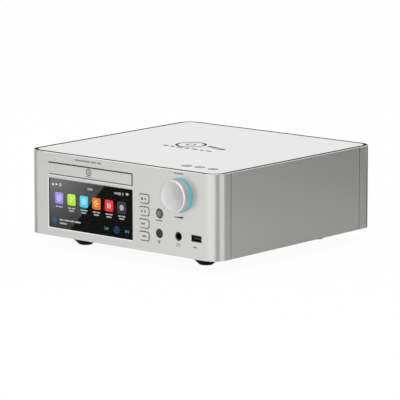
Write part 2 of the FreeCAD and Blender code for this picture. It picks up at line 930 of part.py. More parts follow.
def front_panel():
    """Thick front with short returns round both corners, and all its openings."""
    block = wall_block("front_y - wall_thickness", "wall_thickness + front_wrap - seam_gap / 2")
    hollowed = cut(block, [front_cavity(), lid_rebate(), *panel_openings()])
    face = value("front_y")
    top = value("case_top")
    reach = value("knob_x - ring_radius - 2 * loose_clearance")
    far = value("knob_x + ring_radius + 2 * loose_clearance")

    def wanted(edge):
        on_face = lies_at(edge, "Y", face)
        in_groove = edge.BoundBox.XMin > reach and edge.BoundBox.XMax < far
        round_groove = in_groove and edge.BoundBox.ZMin > value("knob_z - ring_radius - 1")
        inner = edge.BoundBox.ZMin > value("case_low") + 1 and edge.BoundBox.ZMax < top - 1
        on_rim = lies_at(edge, "Z", top) and edge.BoundBox.XLength + edge.BoundBox.YLength > 1
        outer_rim = on_rim and is_outer_rim(edge)
        return (on_face and inner and not round_groove) or outer_rim

    return node("front_panel", broken_edges(hollowed, "edge_break", wanted))


def is_outer_rim(edge):
    """Whether an edge at the top follows the outside of the walls."""
    middle = edge.valueAt((edge.FirstParameter + edge.LastParameter) / 2)
    half_w = value("case_width") / 2
    half_d = value("case_depth") / 2
    radius = value("corner_radius")
    x = abs(middle.x)
    y = abs(middle.y - value("mid_y"))
    across = max(0.0, x - (half_w - radius))
    along = max(0.0, y - (half_d - radius))
    if across > 0 and along > 0:
        return abs(math.hypot(across, along) - radius) < 1e-3
    return abs(x - half_w) < 1e-3 or abs(y - half_d) < 1e-3


def side_panel(label, side):
    """One long side wall between the two seams."""
    low_x = "inner_x" if side > 0 else "-inner_x - wall_thickness"
    wall = box(
        (low_x, "front_seam_y + seam_gap / 2", "case_low"),
        ("wall_thickness", "rear_seam_y - front_seam_y - seam_gap", "case_height"),
    )
    rebated = cut(wall, [lid_rebate()])
    top = value("case_top")

    def wanted(edge):
        return lies_at(edge, "Z", top) and is_outer_rim(edge)

    return node(label, broken_edges(rebated, "edge_break", wanted))


def rear_frame():
    """Rear wrap with both rear corners and a large window for the sockets."""
    block = wall_block("rear_seam_y + seam_gap / 2", "rear_wrap + wall_thickness")
    window = rounded(
        (
            "0",
            "rear_y + wall_thickness",
            "case_low + rear_window_low + rear_window_height / 2",
        ),
        "rear_window_width",
        "rear_window_height",
        "3 * wall_thickness",
        "rear_window_radius",
        FACING_FRONT,
    )
    holes = [
        rod((x, "inner_rear_y", z), "screw_radius", "wall_thickness / 2", "y")
        for x, z in rear_screw_places()
    ]
    hollowed = cut(block, [rear_cavity(), lid_rebate(), window, *holes])
    top = value("case_top")

    def wanted(edge):
        return lies_at(edge, "Z", top) and is_outer_rim(edge)

    return node("rear_frame", broken_edges(hollowed, "edge_break", wanted))


def rear_screw_places():
    """Where the rear plate is screwed to the frame: x and z formulas."""
    side = "(rear_window_width + rear_plate_overlap) / 2"
    low = "case_low + rear_window_low - rear_plate_overlap / 2"
    high = "case_low + rear_window_low + rear_window_height + rear_plate_overlap / 2"
    columns = (f"-({side})", "0", side)
    return [(x, z) for z in (low, high) for x in columns]


def floor_plate():
    """Steel floor between the walls, with vents and screw holes."""
    plate = rounded(
        ("0", "(inner_front_y + inner_rear_y) / 2", "floor_low"),
        "2 * (inner_x - floor_clearance)",
        "inner_rear_y - inner_front_y - 2 * floor_clearance",
        "floor_thickness",
        "corner_radius - wall_thickness",
    )
    holes = [
        rod((x, y, "floor_low - floor_thickness"), "foot_screw_radius", "3 * floor_thickness")
        for x, y in foot_places()
    ]
    vents = []
    for row in ("-1", "1"):
        for slot in range(-4, 5):
            vents.append(
                box(
                    (
                        f"deck_x + {slot} * vent_pitch - vent_width / 2",
                        f"mid_y + {row} * vent_row_offset - vent_length / 2",
                        "floor_low - floor_thickness",
                    ),
                    ("vent_width", "vent_length", "3 * floor_thickness"),
                )
            )
    return node("floor_plate", cut(plate, [*holes, *vents]))


def lid():
    """Dark lid that shows as a shadow line round the top plate."""
    return node("lid", case_block("lid_inset", "lid_low", "lid_thickness"))


def top_plate():
    """Bright plate bonded on the lid, level with the rim of the walls."""
    slab = case_block("plate_inset", "case_top - top_plate_thickness", "top_plate_thickness")
    top = value("case_top")

    def wanted(edge):
        return lies_at(edge, "Z", top)

    return node("top_plate", broken_edges(slab, "top_plate_thickness / 4", wanted))


# Feet


def foot_places():
    """The four feet: x and y formulas, front left first."""
    side = "case_width / 2 - foot_side_inset"
    front = "front_y + foot_end_inset"
    rear = "rear_y - foot_end_inset"
    return [(f"-({side})", front), (side, front), (f"-({side})", rear), (side, rear)]


def feet():
    """Rubber cones under the floor, each with a recess for its screw."""
    profile = [
        ("foot_screw_radius", "foot_recess_depth"),
        ("foot_recess_radius", "foot_recess_depth"),
        ("foot_recess_radius", "0"),
        ("foot_rest_radius - edge_break", "0"),
        ("foot_rest_radius", "edge_break / 2"),
        ("foot_radius", "foot_cone_height"),
        ("foot_radius", "floor_low"),
        ("foot_screw_radius", "floor_low"),
    ]
    return node("feet", group([spun((x, y, "0"), profile) for x, y in foot_places()]))


def foot_screws():
    """Screws that hold the feet to the floor."""
    screws = []
    for x, y in foot_places():
        head_low = "foot_recess_depth - foot_screw_head_height"
        head = rod((x, y, head_low), "foot_screw_head_radius", "foot_screw_head_height")
        shank = rod(
            (x, y, "foot_recess_depth"), "foot_screw_radius", "floor_top - foot_recess_depth"
        )
        screws.append(join([head, shank]))
    return node("foot_screws", group(screws))


def corner_blocks():
    """Blocks inside the corners that join the front, the sides, the rear and the floor."""
    blocks = []
    starts = (
        "inner_front_y + corner_radius - wall_thickness",
        "inner_rear_y - corner_radius + wall_thickness - corner_block_length",
    )
    for y in starts:
        for x in ("-inner_x", "inner_x - corner_block_width"):
            size = ("corner_block_width", "corner_block_length", "corner_block_height")
            blocks.append(box((x, y, "floor_top"), size))
    return node("corner_blocks", group(blocks))


# Screen


def screen_glass():
    """Cover glass just inside the front face."""
    return node(
        "screen_glass",
        rounded(
            ("deck_x", "front_y + screen_recess + glass_thickness", "screen_z"),
            "screen_width - 2 * screen_gap",
            "screen_height - 2 * screen_gap",
            "glass_thickness",
            "screen_corner_radius",
            FACING_FRONT,
        ),
    )


def screen_module():
    """The lit panel behind the glass, on a board against the back of the front panel."""
    panel = box(
        (
            "deck_x - screen_width / 2 + lcd_border",
            "front_y + screen_recess + glass_thickness",
            "screen_z - screen_height / 2 + lcd_border / 2",
        ),
        ("screen_width - 2 * lcd_border", "lcd_thickness", "screen_height - lcd_border"),
    )
    board = box(
        (
            "deck_x - screen_width / 2 - display_board_overlap",
            "inner_front_y",
            "screen_z - screen_height / 2 - display_board_overlap / 2",
        ),
        (
            "screen_width + 2 * display_board_overlap",
            "board_thickness",
            "screen_height + display_board_overlap",
        ),
    )
    return node("screen_module", join([panel, board]))


# Keys, knob and front sockets


def flanged_key(x, z, width, tall, radius):
    """A key cap with a flange behind the panel."""
    cap = rounded(
        (x, "inner_front_y + flange_gap + flange_thickness / 2", z),
        width,
        tall,
        "front_thickness + key_projection + flange_gap + flange_thickness / 2",
        radius,
        FACING_FRONT,
    )
    flange = rounded(
        (x, "inner_front_y + flange_gap + flange_thickness", z),
        f"{width} + 2 * flange_width",
        f"{tall} + 2 * flange_width",
        "flange_thickness",
        radius,
        FACING_FRONT,
    )
    return join([cap, flange])


def keys():
    """Four rectangular keys, from the lowest up."""
    face = value("front_y - key_projection")

    def wanted(edge):
        return lies_at(edge, "Y", face)

    for index, label in enumerate(("key_next", "key_previous", "key_play", "key_eject")):
        key = flanged_key(
            "key_x", key_height_formula(index), "key_width", "key_height",
            "key_corner_radius",
        )
        node(label, broken_edges(key, "key_edge", wanted))


def standby_button():
    """Round button with a flange behind the panel."""
    start = "front_y - key_projection / 2"
    profile = [
        ("0", "0"),
        ("standby_radius - edge_break", "0"),
        ("standby_radius", "edge_break"),
        ("standby_radius", "front_thickness + key_projection / 2 + flange_gap"),
        ("standby_radius + flange_width", "front_thickness + key_projection / 2 + flange_gap"),
        (
            "standby_radius + flange_width",
            "front_thickness + key_projection / 2 + flange_gap + flange_thickness",
        ),
        ("0", "front_thickness + key_projection / 2 + flange_gap + flange_thickness"),
    ]
    at = ("standby_x", start, "case_low + standby_height")
    return node("standby_button", spun(at, profile, ALONG["y"]))


def eye_window():
    """Smoked round window of the remote receiver, seated from behind."""
    long = "front_thickness - eye_recess"
    profile = [
        ("0", "0"),
        ("eye_radius - key_gap / 3", "0"),
        ("eye_radius - key_gap / 3", long),
        ("eye_radius + flange_width", long),
        ("eye_radius + flange_width", f"{long} + control_board_gap"),
        ("0", f"{long} + control_board_gap"),
    ]
    at = ("eye_x", "front_y + eye_recess", "case_low + eye_height")
    return node("eye_window", spun(at, profile, ALONG["y"]))


def knob():
    """Hollow turned knob with a bright front bevel."""
    deep = "knob_projection - ring_projection - knob_gap"
    profile = [
        ("shaft_radius", deep),
        ("knob_boss_radius", deep),
        ("knob_boss_radius", "knob_face_thickness"),
        ("knob_radius - knob_wall", "knob_face_thickness"),
        ("knob_radius - knob_wall", deep),
        ("knob_radius", deep),
        ("knob_radius", "knob_bevel"),
        ("knob_radius - knob_bevel", "0"),
        ("0", "0"),
        ("0", "knob_face_thickness"),
        ("shaft_radius", "knob_face_thickness"),
    ]
    at = ("knob_x", "front_y - knob_projection", "knob_z")
    return node("knob", spun(at, profile, ALONG["y"]))


def encoder_shaft():
    """Shaft that the knob is pressed on."""
    start = "front_y - knob_projection + knob_face_thickness"
    length = "knob_projection - knob_face_thickness + front_thickness + control_board_gap / 2"
    return node("encoder_shaft", rod(("knob_x", start, "knob_z"), "shaft_radius", length, "y"))


def encoder():
    """Rotary encoder: square body on the control board and a round bushing."""
    body = box(
        ("knob_x - encoder_size / 2", "inner_front_y", "knob_z - encoder_size / 2"),
        ("encoder_size", "control_board_gap", "encoder_size"),
    )
    bushing = rod(
        ("knob_x", "inner_front_y - front_thickness + ring_groove_depth", "knob_z"),
        "bushing_radius",
        "front_thickness",
        "y",
    )
    bore = rod(
        ("knob_x", "front_y", "knob_z"),
        "shaft_radius + running_clearance",
        "front_thickness + control_board_gap / 2 + loose_clearance",
        "y",
    )
    return node("encoder", cut(join([body, bushing]), [bore]))


def light_ring():
    """Light guide round the base of the knob, seated in a groove of the panel."""
    at = ("knob_x", "front_y - ring_projection", "knob_z")
    length = "ring_projection + ring_groove_depth"
    ring = tube(at, "ring_radius", "ring_inner_radius", length, "y")
    return node("light_ring", ring)


def headphone_jack():
    """Socket with a round bore that a plug goes into."""
    collar = rod(
        ("jack_x", "front_y + screen_recess", "jack_z"),
        "jack_mouth_radius - key_gap / 3",
        "front_thickness",
        "y",
    )
    body = box(
        ("jack_x - jack_body_size / 2", "inner_front_y", "jack_z - jack_body_size / 2"),
        ("jack_body_size", "jack_depth - front_thickness + wall_thickness", "jack_body_size"),
    )
    bore = rod(("jack_x", "front_y", "jack_z"), "jack_bore_radius", "jack_depth", "y")
    return node("headphone_jack", cut(join([collar, body]), [bore]))


def usb_socket():
    """Rectangular socket with a contact tongue."""
    outer_w = "usb_mouth_width - key_gap"
    outer_h = "usb_mouth_height - key_gap"
    shell = box(
        (
            f"usb_x - ({outer_w}) / 2",
            "front_y + screen_recess",
            f"usb_z - ({outer_h}) / 2",
        ),
        (outer_w, "usb_depth", outer_h),
    )
    hollow = box(
        (
            f"usb_x - ({outer_w}) / 2 + usb_shell",
            "front_y",
            f"usb_z - ({outer_h}) / 2 + usb_shell",
        ),
        (
            f"{outer_w} - 2 * usb_shell",
            "usb_depth - usb_shell",
            f"{outer_h} - 2 * usb_shell",
        ),
    )
    tongue = box(
        ("usb_x - usb_tongue_width / 2", "front_y + usb_tongue_recess", "usb_z"),
        ("usb_tongue_width", "usb_depth - usb_tongue_recess", "usb_tongue_thickness"),
    )
    return node("usb_socket", join([cut(shell, [hollow]), tongue]))


def control_board():
    """Upright board behind the panel that carries the keys, encoder and sockets."""
    board = box(
        ("control_board_left", "board_front_y", "case_low + control_board_low"),
        ("control_board_right - control_board_left", "board_thickness", "control_board_height"),
    )
    jack_hole = box(
        (
            "jack_x - jack_body_size / 2 - loose_clearance",
            "board_front_y - board_thickness",
            "jack_z - jack_body_size / 2 - loose_clearance",
        ),
        (
            "jack_body_size + 2 * loose_clearance",
            "3 * board_thickness",
            "jack_body_size + 2 * loose_clearance",
        ),
    )
    usb_hole = box(
        (
            "usb_x - usb_mouth_width / 2",
            "board_front_y - board_thickness",
            "usb_z - usb_mouth_height / 2",
        ),
        ("usb_mouth_width", "3 * board_thickness", "usb_mouth_height"),
    )
    return node("control_board", cut(board, [jack_hole, usb_hole]))


def board_post_places():
    """Posts between the front panel and the control board: x and z formulas."""
    columns = ("control_board_left + post_inset", "control_board_right - post_inset")
    rows = (
        "case_low + control_board_low + control_board_height - post_inset",
        "case_low + control_board_low + control_board_height / 2",
    )
    lowest = ("control_board_left + post_inset + low_post_offset", "case_low + low_post_height")
    return [(columns[1], rows[0]), (columns[0], rows[0]), (columns[1], rows[1]), lowest]


def control_board_posts():
    """Short posts that hold the control board."""
    return [
        rod((x, "inner_front_y", z), "post_radius", "control_board_gap", "y")
        for x, z in board_post_places()
    ]


def key_switches():
    """Small switches behind the keys and the standby button."""
    spots = [("key_x", key_height_formula(index)) for index in range(4)]
    spots.append(("standby_x", "case_low + standby_height"))
    tip = "inner_front_y + flange_gap + flange_thickness + key_travel + flange_gap / 2"
    deep = f"board_front_y - ({tip}) - plunger_length"
    switches = []
    for x, z in spots:
        body = box(
            (
                f"{x} - switch_size / 2",
                f"{tip} + plunger_length",
                f"{z} - switch_size / 2",
            ),
            ("switch_size", deep, "switch_size"),
        )
        plunger = rod((x, tip, z), "plunger_radius", "plunger_length + flange_gap", "y")
        switches.append(join([body, plunger]))
    return node("key_switches", group(switches))


# Tray and its drive


def drawer_front():
    """The visible front of the drawer."""
    slab = rounded(
        ("deck_x", "tray_front_y", "slot_z - slot_drop"),
        "slot_width - 2 * slot_gap",
        "slot_height - 2 * slot_gap",
        "drawer_front_thickness",
        "slot_corner_radius - slot_gap / 2",
        FACING_FRONT,
    )
    face = value("front_y")

    def wanted(edge):
        return lies_at(edge, "Y", face)

    return node("drawer_front", broken_edges(slab, "edge_break / 2", wanted))


def tray_rack():
    """Teeth along the underside of the tray, in mesh with the pinion."""
    start = value("tray_front_y + rack_bar - gear_y")
    end = value("tray_front_y + tray_length - rack_bar - gear_y")
    shape = rack_shape(
        value("gear_module"),
        start,
        end,
        value("rack_bar"),
        value("rack_height"),
        value("tooth_thinning"),
        0.0,
    )
    item = solid_feature("TrayRack", shape)
    return place_shape(item, ("rack_pitch_x", "gear_y", "rack_low"))


def tray():
    """Disc tray with two wells, a slot to the rear, side skirts and the rack."""
    slab = box(
        ("deck_x - tray_width / 2", "tray_front_y", "slab_low"),
        ("tray_width", "tray_length", "tray_slab"),
    )
    large = rod(("deck_x", "disc_y", "well_low"), "disc_radius", "tray_slab")
    small = rod(("deck_x", "disc_y", "well_low - small_well_depth"), "small_disc_radius", "tray_slab")
    eye = rod(("deck_x", "disc_y", "slab_low - tray_slab"), "tray_slot_width / 2", "3 * tray_slab")
    slot = box(
        ("deck_x - tray_slot_width / 2", "disc_y", "slab_low - tray_slab"),
        ("tray_slot_width", "tray_length", "3 * tray_slab"),
    )
    skirts = [
        box(
            (x, "tray_front_y", "tray_low"),
            ("tray_skirt_width", "tray_length", "tray_skirt_height + tray_slab / 2"),
        )
        for x in ("deck_x - tray_width / 2", "deck_x + tray_width / 2 - tray_skirt_width")
    ]
    body = cut(slab, [large, small, eye, slot])
    return node("tray", join([body, *skirts, tray_rack()]))


def loader_chassis():
    """Moulded frame that guides the tray and carries the gears and the cradle."""
    outer = box(
        ("deck_x - loader_half", "loader_front_y", "loader_low"),
        ("2 * loader_half", "loader_length", "loader_top - loader_low"),
    )
    inner_half = "loader_inner_half"
    inner = box(
        (f"deck_x - {inner_half}", "loader_front_y - loader_wall", "loader_floor_top"),
        (f"2 * {inner_half}", "loader_length + 2 * loader_wall", "loader_top"),
    )
    opening = box(
        (
            "deck_x - well_opening_width / 2",
            "disc_y - well_opening_front",
            "loader_low - loader_floor",
        ),
        (
            "well_opening_width",
            "well_opening_front + well_opening_rear",
            "3 * loader_floor",
        ),
    )
    shell = cut(outer, [inner, opening])
    rails = []
    low = "tray_low - loose_clearance - ledge_thickness"
    high = "tray_top + loose_clearance"
    for side in (-1, 1):
        ledge_x = f"deck_x - {inner_half}" if side < 0 else f"deck_x + {inner_half} - ledge_width"
        lip_x = f"deck_x - {inner_half}" if side < 0 else f"deck_x + {inner_half} - lip_width"
        rails.append(
            box((ledge_x, "loader_front_y", low), ("ledge_width", "loader_length", "ledge_thickness"))
        )
        rails.append(
            box((lip_x, "loader_front_y", high), ("lip_width", "loader_length", "lip_thickness"))
        )
    stop = box(
        (
            f"deck_x - {inner_half}",
            "loader_front_y + loader_length - loader_wall",
            "loader_low",
        ),
        (f"2 * {inner_half}", "loader_wall", "cradle_low - loader_low"),
    )
    axles = [
        rod((x, "gear_y", "loader_low"), radius, f"{top} - loader_low - loose_clearance")
        for x, radius, top in (
            ("tray_gear_x", "boss_radius", "wheel_low"),
            ("tray_gear_x", "axle_radius", "slab_low"),
            ("drive_x", "boss_radius", "pulley_low"),
            ("drive_x", "axle_radius", "slab_low"),
        )
    ]
    lugs = []
    for side in (-1, 1):
        near = "cradle_width / 2 + pivot_lug_gap + pivot_lug_thickness"
        lug_x = f"deck_x - ({near})" if side < 0 else f"deck_x + {near} - pivot_lug_thickness"
        lugs.append(
            box(
                (lug_x, "pivot_y - pivot_lug_width / 2", "loader_low"),
                ("pivot_lug_thickness", "pivot_lug_width", "pivot_z - loader_low + pivot_lug_width / 2"),
            )
        )
    body = join([shell, *rails, stop, *axles, *lugs])
    pivot = rod(
        ("deck_x - loader_inner_half", "pivot_y", "pivot_z"),
        "pivot_radius + running_clearance",
        "2 * loader_inner_half",
        "x",
    )
    shaft_hole = rod(
        ("motor_x", "gear_y", "loader_low - loader_floor"),
        "motor_shaft_radius + loose_clearance",
        "3 * loader_floor",
    )
    holes = [
        rod((x, y, "loader_low - loader_floor"), "screw_radius", "3 * loader_floor")
        for x, y in loader_screw_places()
    ]
    return node("loader_chassis", cut(body, [pivot, shaft_hole, *holes]))


def loader_screw_places():
    """Where the loader is screwed to its stands: x and y formulas."""
    reach = "loader_half - stand_inset - stand_flange / 2"
    rows = (
        "stand_front_y + loader_screw_inset",
        "stand_front_y + stand_length - loader_screw_inset",
    )
    return [(f"deck_x {sign} ({reach})", y) for sign in "-+" for y in rows]


def loader_stands():
    """Two bent steel stands under the loader."""
    tall = "loader_low - floor_top"
    stands = []
    for side in (-1, 1):
        web = "loader_half - stand_inset"
        sign = "-" if side < 0 else ""

        def across(text, sign=sign):
            return f"{sign}({text})"

        profile = [
            (across(f"{web} - stand_flange"), "0"),
            (across(web), "0"),
            (across(web), tall),
            (across(f"{web} - stand_flange"), tall),
            (across(f"{web} - stand_flange"), f"{tall} - stand_thickness"),
            (across(f"{web} - stand_thickness"), f"{tall} - stand_thickness"),
            (across(f"{web} - stand_thickness"), "stand_thickness"),
            (across(f"{web} - stand_flange"), "stand_thickness"),
        ]
        at = ("deck_x", "stand_front_y + stand_length", "floor_top")
        stand = extruded(at, profile, "stand_length", FACING_FRONT)
        holes = [
            rod((x, y, "loader_low - 2 * stand_thickness"), "screw_radius", "3 * stand_thickness")
            for x, y in loader_screw_places()
        ]
        stands.append(cut(stand, holes))
    return node("loader_stands", group(stands))


def loader_screws():
    """Screws that hold the loader on its stands."""
    screws = []
    for x, y in loader_screw_places():
        head = rod((x, y, "loader_floor_top"), "screw_head_radius", "screw_head_height")
        shank = rod(
            (x, y, "loader_floor_top - screw_length"), "screw_radius", "screw_length"
        )
        screws.append(join([head, shank]))
    return screws


def tray_gear():
    """Pinion in mesh with the rack, on top of a wheel."""
    module = value("gear_module")
    thinning = value("tooth_thinning")
    tall = value("slab_low - pinion_low - tray_clearance")
    pinion = gear_shape(module, value("pinion_teeth"), tall, thinning)
    pinion.translate(FreeCAD.Vector(0, 0, value("gear_thickness")))
    wheel = gear_shape(module, value("wheel_teeth"), value("gear_thickness"), thinning)
    bore = Part.makeCylinder(value("axle_radius + gear_bore_gap"), value("slab_low"))
    item = solid_feature("TrayGear", wheel.fuse(pinion).cut(bore))
    return node("tray_gear", place_shape(item, ("tray_gear_x", "gear_y", "wheel_low")))


def drive_wheel():
    """Belt pulley with a pinion above it, in mesh with the wheel."""
    teeth = value("drive_teeth")
    low = value("wheel_low - pulley_low")
    pinion = gear_shape(
        value("gear_module"),
        teeth,
        value("gear_thickness"),
        value("tooth_thinning"),
        math.pi / round(teeth),
    )
    pinion.translate(FreeCAD.Vector(0, 0, low))
    tall = value("pulley_height")
    rim = value("pulley_radius")
    hub = Part.makeCylinder(value("boss_radius") + 1, low)
    disc = Part.makeCylinder(rim, tall)
    groove_low = value("(pulley_height - belt_width) / 2 - belt_gap")
    groove = Part.makeCylinder(
        rim, value("belt_width + 2 * belt_gap"), FreeCAD.Vector(0, 0, groove_low)
    ).cut(Part.makeCylinder(value("pulley_floor_radius"), tall))
    bore = Part.makeCylinder(value("axle_radius + gear_bore_gap"), value("slab_low"))
    shape = disc.cut(groove).fuse([hub, pinion]).cut(bore)
    item = solid_feature("DriveWheel", shape)
    return node("drive_wheel", place_shape(item, ("drive_x", "gear_y", "pulley_low")))


def motor_pulley():
    """Small grooved pulley on the loading motor's shaft."""
    groove_low = "((pulley_height - belt_width) / 2 - belt_gap)"
    groove_high = "((pulley_height + belt_width) / 2 + belt_gap)"
    shaft_low = "-(pulley_low - loader_low + loading_motor_height / 2)"
    profile = [
        ("0", shaft_low),
        ("motor_shaft_radius", shaft_low),
        ("motor_shaft_radius", "0"),
        ("motor_pulley_radius", "0"),
        ("motor_pulley_radius", groove_low),
        ("motor_pulley_floor_radius", groove_low),
        ("motor_pulley_floor_radius", groove_high),
        ("motor_pulley_radius", groove_high),
        ("motor_pulley_radius", "pulley_height"),
        ("0", "pulley_height"),
    ]
    return node("motor_pulley", spun(("motor_x", "gear_y", "pulley_low"), profile))


def drive_belt():
    """Square belt round the two pulleys."""
    reach = value("motor_reach")
    thickness = value("belt_width")
    near = value("pulley_floor_radius + belt_gap")
    far = value("motor_pulley_floor_radius + belt_gap")
    outer = belt_outline(reach, near + thickness, far + thickness, thickness)
    inner = belt_outline(reach, near, far, thickness)
    item = solid_feature("DriveBelt", outer.cut(inner))
    low = "pulley_low + (pulley_height - belt_width) / 2"
    return node("drive_belt", place_shape(item, ("drive_x", "gear_y", low)))


def loading_motor():
    """Motor under the loader floor that draws the tray in and out."""
    tall = "loading_motor_height"
    body = rod(("motor_x", "gear_y", f"loader_low - {tall}"), "loading_motor_radius", tall)
    bore = rod(
        ("motor_x", "gear_y", f"loader_low - {tall} / 2 - loose_clearance"),
        "motor_shaft_radius + running_clearance",
        tall,
    )
    return node("loading_motor", cut(body, [bore]))


# Cradle, turntable and sled


def cradle():
    """Pivoted plate that carries the spindle motor and the sled."""
    plate = box(
        ("deck_x - cradle_width / 2", "disc_y - cradle_front", "cradle_low"),
        ("cradle_width", "cradle_front + cradle_rear", "cradle_thickness"),
    )
    window = box(
        (
            "deck_x - sled_window_width / 2",
            "disc_y + sled_window_front",
            "cradle_low - cradle_thickness",
        ),
        ("sled_window_width", "sled_window_length", "3 * cradle_thickness"),
    )
    blocks = []
    for side in (-1, 1):
        for y in ("rod_front", "rod_rear - rod_block_length"):
            blocks.append(
                box(
                    (
                        f"deck_x + {side} * rod_offset - rod_block_width / 2",
                        f"disc_y + {y}",
                        "cradle_low",
                    ),
                    (
                        "rod_block_width",
                        "rod_block_length",
                        "cradle_thickness + rod_block_height",
                    ),
                )
            )
    reach = "cradle_width + 2 * (pivot_lug_gap + pivot_lug_thickness)"
    pivot = rod((f"deck_x - ({reach}) / 2", "pivot_y", "pivot_z"), "pivot_radius", reach, "x")
    rod_holes = [
        rod(
            (f"deck_x + {side} * rod_offset", "disc_y", "rod_z"),
            "rod_radius",
            "pivot_setback",
            "y",
        )
        for side in (-1, 1)
    ]
    shaft_hole = rod(
        ("sled_gear_x", "sled_gear_y", "cradle_low - cradle_thickness"),
        "motor_shaft_radius + loose_clearance",
        "3 * cradle_thickness",
    )
    return node("cradle", cut(join([plate, *blocks, pivot]), [window, *rod_holes, shaft_hole]))


def guide_rods():
    """Two steel rods that the sled runs on."""
    rods = [
        rod(
            (f"deck_x + {side} * rod_offset", "disc_y + rod_front", "rod_z"),
            "rod_radius",
            "rod_rear - rod_front",
            "y",
        )
        for side in (-1, 1)
    ]
    return node("guide_rods", group(rods))


def spindle_motor():
    """Flat motor on the cradle that turns the disc."""
    at = ("deck_x", "disc_y", "cradle_top")
    body = rod(at, "spindle_motor_radius", "spindle_motor_height")
    bore = rod(
        ("deck_x", "disc_y", "cradle_top + loose_clearance"),
        "axle_radius + running_clearance",
        "spindle_motor_height",
    )
    return node("spindle_motor", cut(body, [bore]))


def turntable():
    """Platter with a centring hub and its shaft."""
    shaft_low = "-(platter_low - cradle_top - 2 * loose_clearance)"
    profile = [
        ("0", shaft_low),
        ("axle_radius", shaft_low),
        ("axle_radius", "0"),
        ("platter_radius", "0"),
        ("platter_radius", "platter_thickness"),
        ("hub_radius", "platter_thickness"),
        ("hub_radius", "platter_thickness + hub_height / 2"),
        ("hub_radius - hub_taper", "platter_thickness + hub_height"),
        ("0", "platter_thickness + hub_height"),
    ]
    return node("turntable", spun(("deck_x", "disc_y", "platter_low"), profile))


def sled_rack():
    """Teeth along the side of the sled, in mesh with its gear."""
    module = value("sled_gear_module")
    shape = rack_shape(
        module,
        value("sled_y - sled_rack_front - sled_gear_y"),
        value("sled_y + sled_rack_rear - sled_gear_y"),
        value("sled_rack_bar"),
        value("sled_gear_thickness"),
        value("tooth_thinning"),
        0.0,
    )
    item = solid_feature("SledRack", shape)
    return place_shape(item, ("sled_pitch_x", "sled_gear_y", "sled_low + running_clearance"))


def sled():
    """Laser sled on the two rods, with a keel, a lens on its tower and a rack."""
    body = box(
        ("deck_x - sled_width / 2", "sled_y - sled_length / 2", "sled_low"),
        ("sled_width", "sled_length", "sled_height"),
    )
    keel = box(
        (
            "deck_x - sled_keel_width / 2",
            "sled_y - sled_length / 2 + sled_clearance * 2",
            "sled_low - sled_keel_height",
        ),
        ("sled_keel_width", "sled_length - sled_clearance * 4", "sled_keel_height + sled_height / 2"),
    )
    tower = rod(
        ("deck_x", "sled_y", "sled_low"), "lens_tower_radius", "sled_height + lens_tower_height"
    )
    holes = [
        rod(
            (f"deck_x + {side} * rod_offset", "disc_y - cradle_front", "rod_z"),
            "rod_radius + running_clearance",
            "cradle_rear + cradle_front",
            "y",
        )
        for side in (-1, 1)
    ]
    lens = rod(
        ("deck_x", "sled_y", "sled_top"), "lens_radius", "lens_tower_height + lens_height"
    )
    return node("sled", cut(join([body, keel, tower, lens, sled_rack()]), holes))


def sled_gear():
    """Gear on the sled motor's shaft."""
    thickness = value("sled_gear_thickness")
    gear = gear_shape(
        value("sled_gear_module"),
        value("sled_gear_teeth"),
        thickness,
        value("tooth_thinning"),
    )
    deep = value("sled_low - cradle_low + sled_motor_height / 2")
    shaft = Part.makeCylinder(
        value("motor_shaft_radius"), deep + thickness / 2, FreeCAD.Vector(0, 0, -deep)
    )
    item = solid_feature("SledGear", gear.fuse(shaft))
    at = ("sled_gear_x", "sled_gear_y", "sled_low + running_clearance")
    return node("sled_gear", place_shape(item, at))


def sled_motor():
    """Small motor under the cradle that moves the sled."""
    tall = "sled_motor_height"
    body = rod(("sled_gear_x", "sled_gear_y", f"cradle_low - {tall}"), "sled_motor_radius", tall)
    bore = rod(
        ("sled_gear_x", "sled_gear_y", f"cradle_low - {tall} / 2 - loose_clearance"),
        "motor_shaft_radius + running_clearance",
        tall,
    )
    return node("sled_motor", cut(body, [bore]))


def clamp_bridge():
    """Steel strip across the loader that carries the clamp."""
    strip = box(
        ("deck_x - loader_half", "disc_y - bridge_width / 2", "loader_top"),
        ("2 * loader_half", "bridge_width", "bridge_thickness"),
    )
    hole = rod(
        ("deck_x", "disc_y", "loader_top - bridge_thickness"),
        "bridge_hole_radius",
        "3 * bridge_thickness",
    )
    return node("clamp_bridge", cut(strip, [hole]))


def clamp_puck():
    """Puck that turns with the disc and hangs in the bridge by its flange."""
    neck = "bridge_top + loose_clearance - puck_low"
    profile = [
        ("0", "puck_recess_depth"),
        ("puck_recess_radius", "puck_recess_depth"),
        ("puck_recess_radius", "0"),
        ("puck_neck_radius", "0"),
        ("puck_neck_radius", neck),
        ("puck_flange_radius", neck),
        ("puck_flange_radius", f"{neck} + puck_flange_thickness"),
        ("0", f"{neck} + puck_flange_thickness"),
    ]
    return node("clamp_puck", spun(("deck_x", "disc_y", "puck_low"), profile))


# Boards and power supply


def board_plan(left, front, width, length):
    """A board on standoffs: its corner, its size and its four hole places."""
    inset = "board_hole_inset"
    columns = (f"{left} + {inset}", f"{left} + {width} - {inset}")
    rows = (f"{front} + {inset}", f"{front} + {length} - {inset}")
    return [(x, y) for x in columns for y in rows]


BOARDS = {
    "main_board": (
        "deck_x - main_board_width / 2",
        "front_y + main_board_setback",
        "main_board_width",
        "main_board_length",
    ),
    "dac_board": (
        "dac_board_left",
        "dac_board_y",
        "dac_board_width",
        "dac_board_length",
    ),
    "power_board": (
        "power_board_left",
        "power_board_y",
        "power_board_width",
        "power_board_length",
    ),
}


def boards():
    """Three circuit boards with their screw holes."""
    for label, (left, front, width, length) in BOARDS.items():
        board = box((left, front, "board_low"), (width, length, "board_thickness"))
        holes = [
            rod((x, y, "board_low - board_thickness"), "screw_radius", "3 * board_thickness")
            for x, y in board_plan(left, front, width, length)
        ]
        node(label, cut(board, holes))


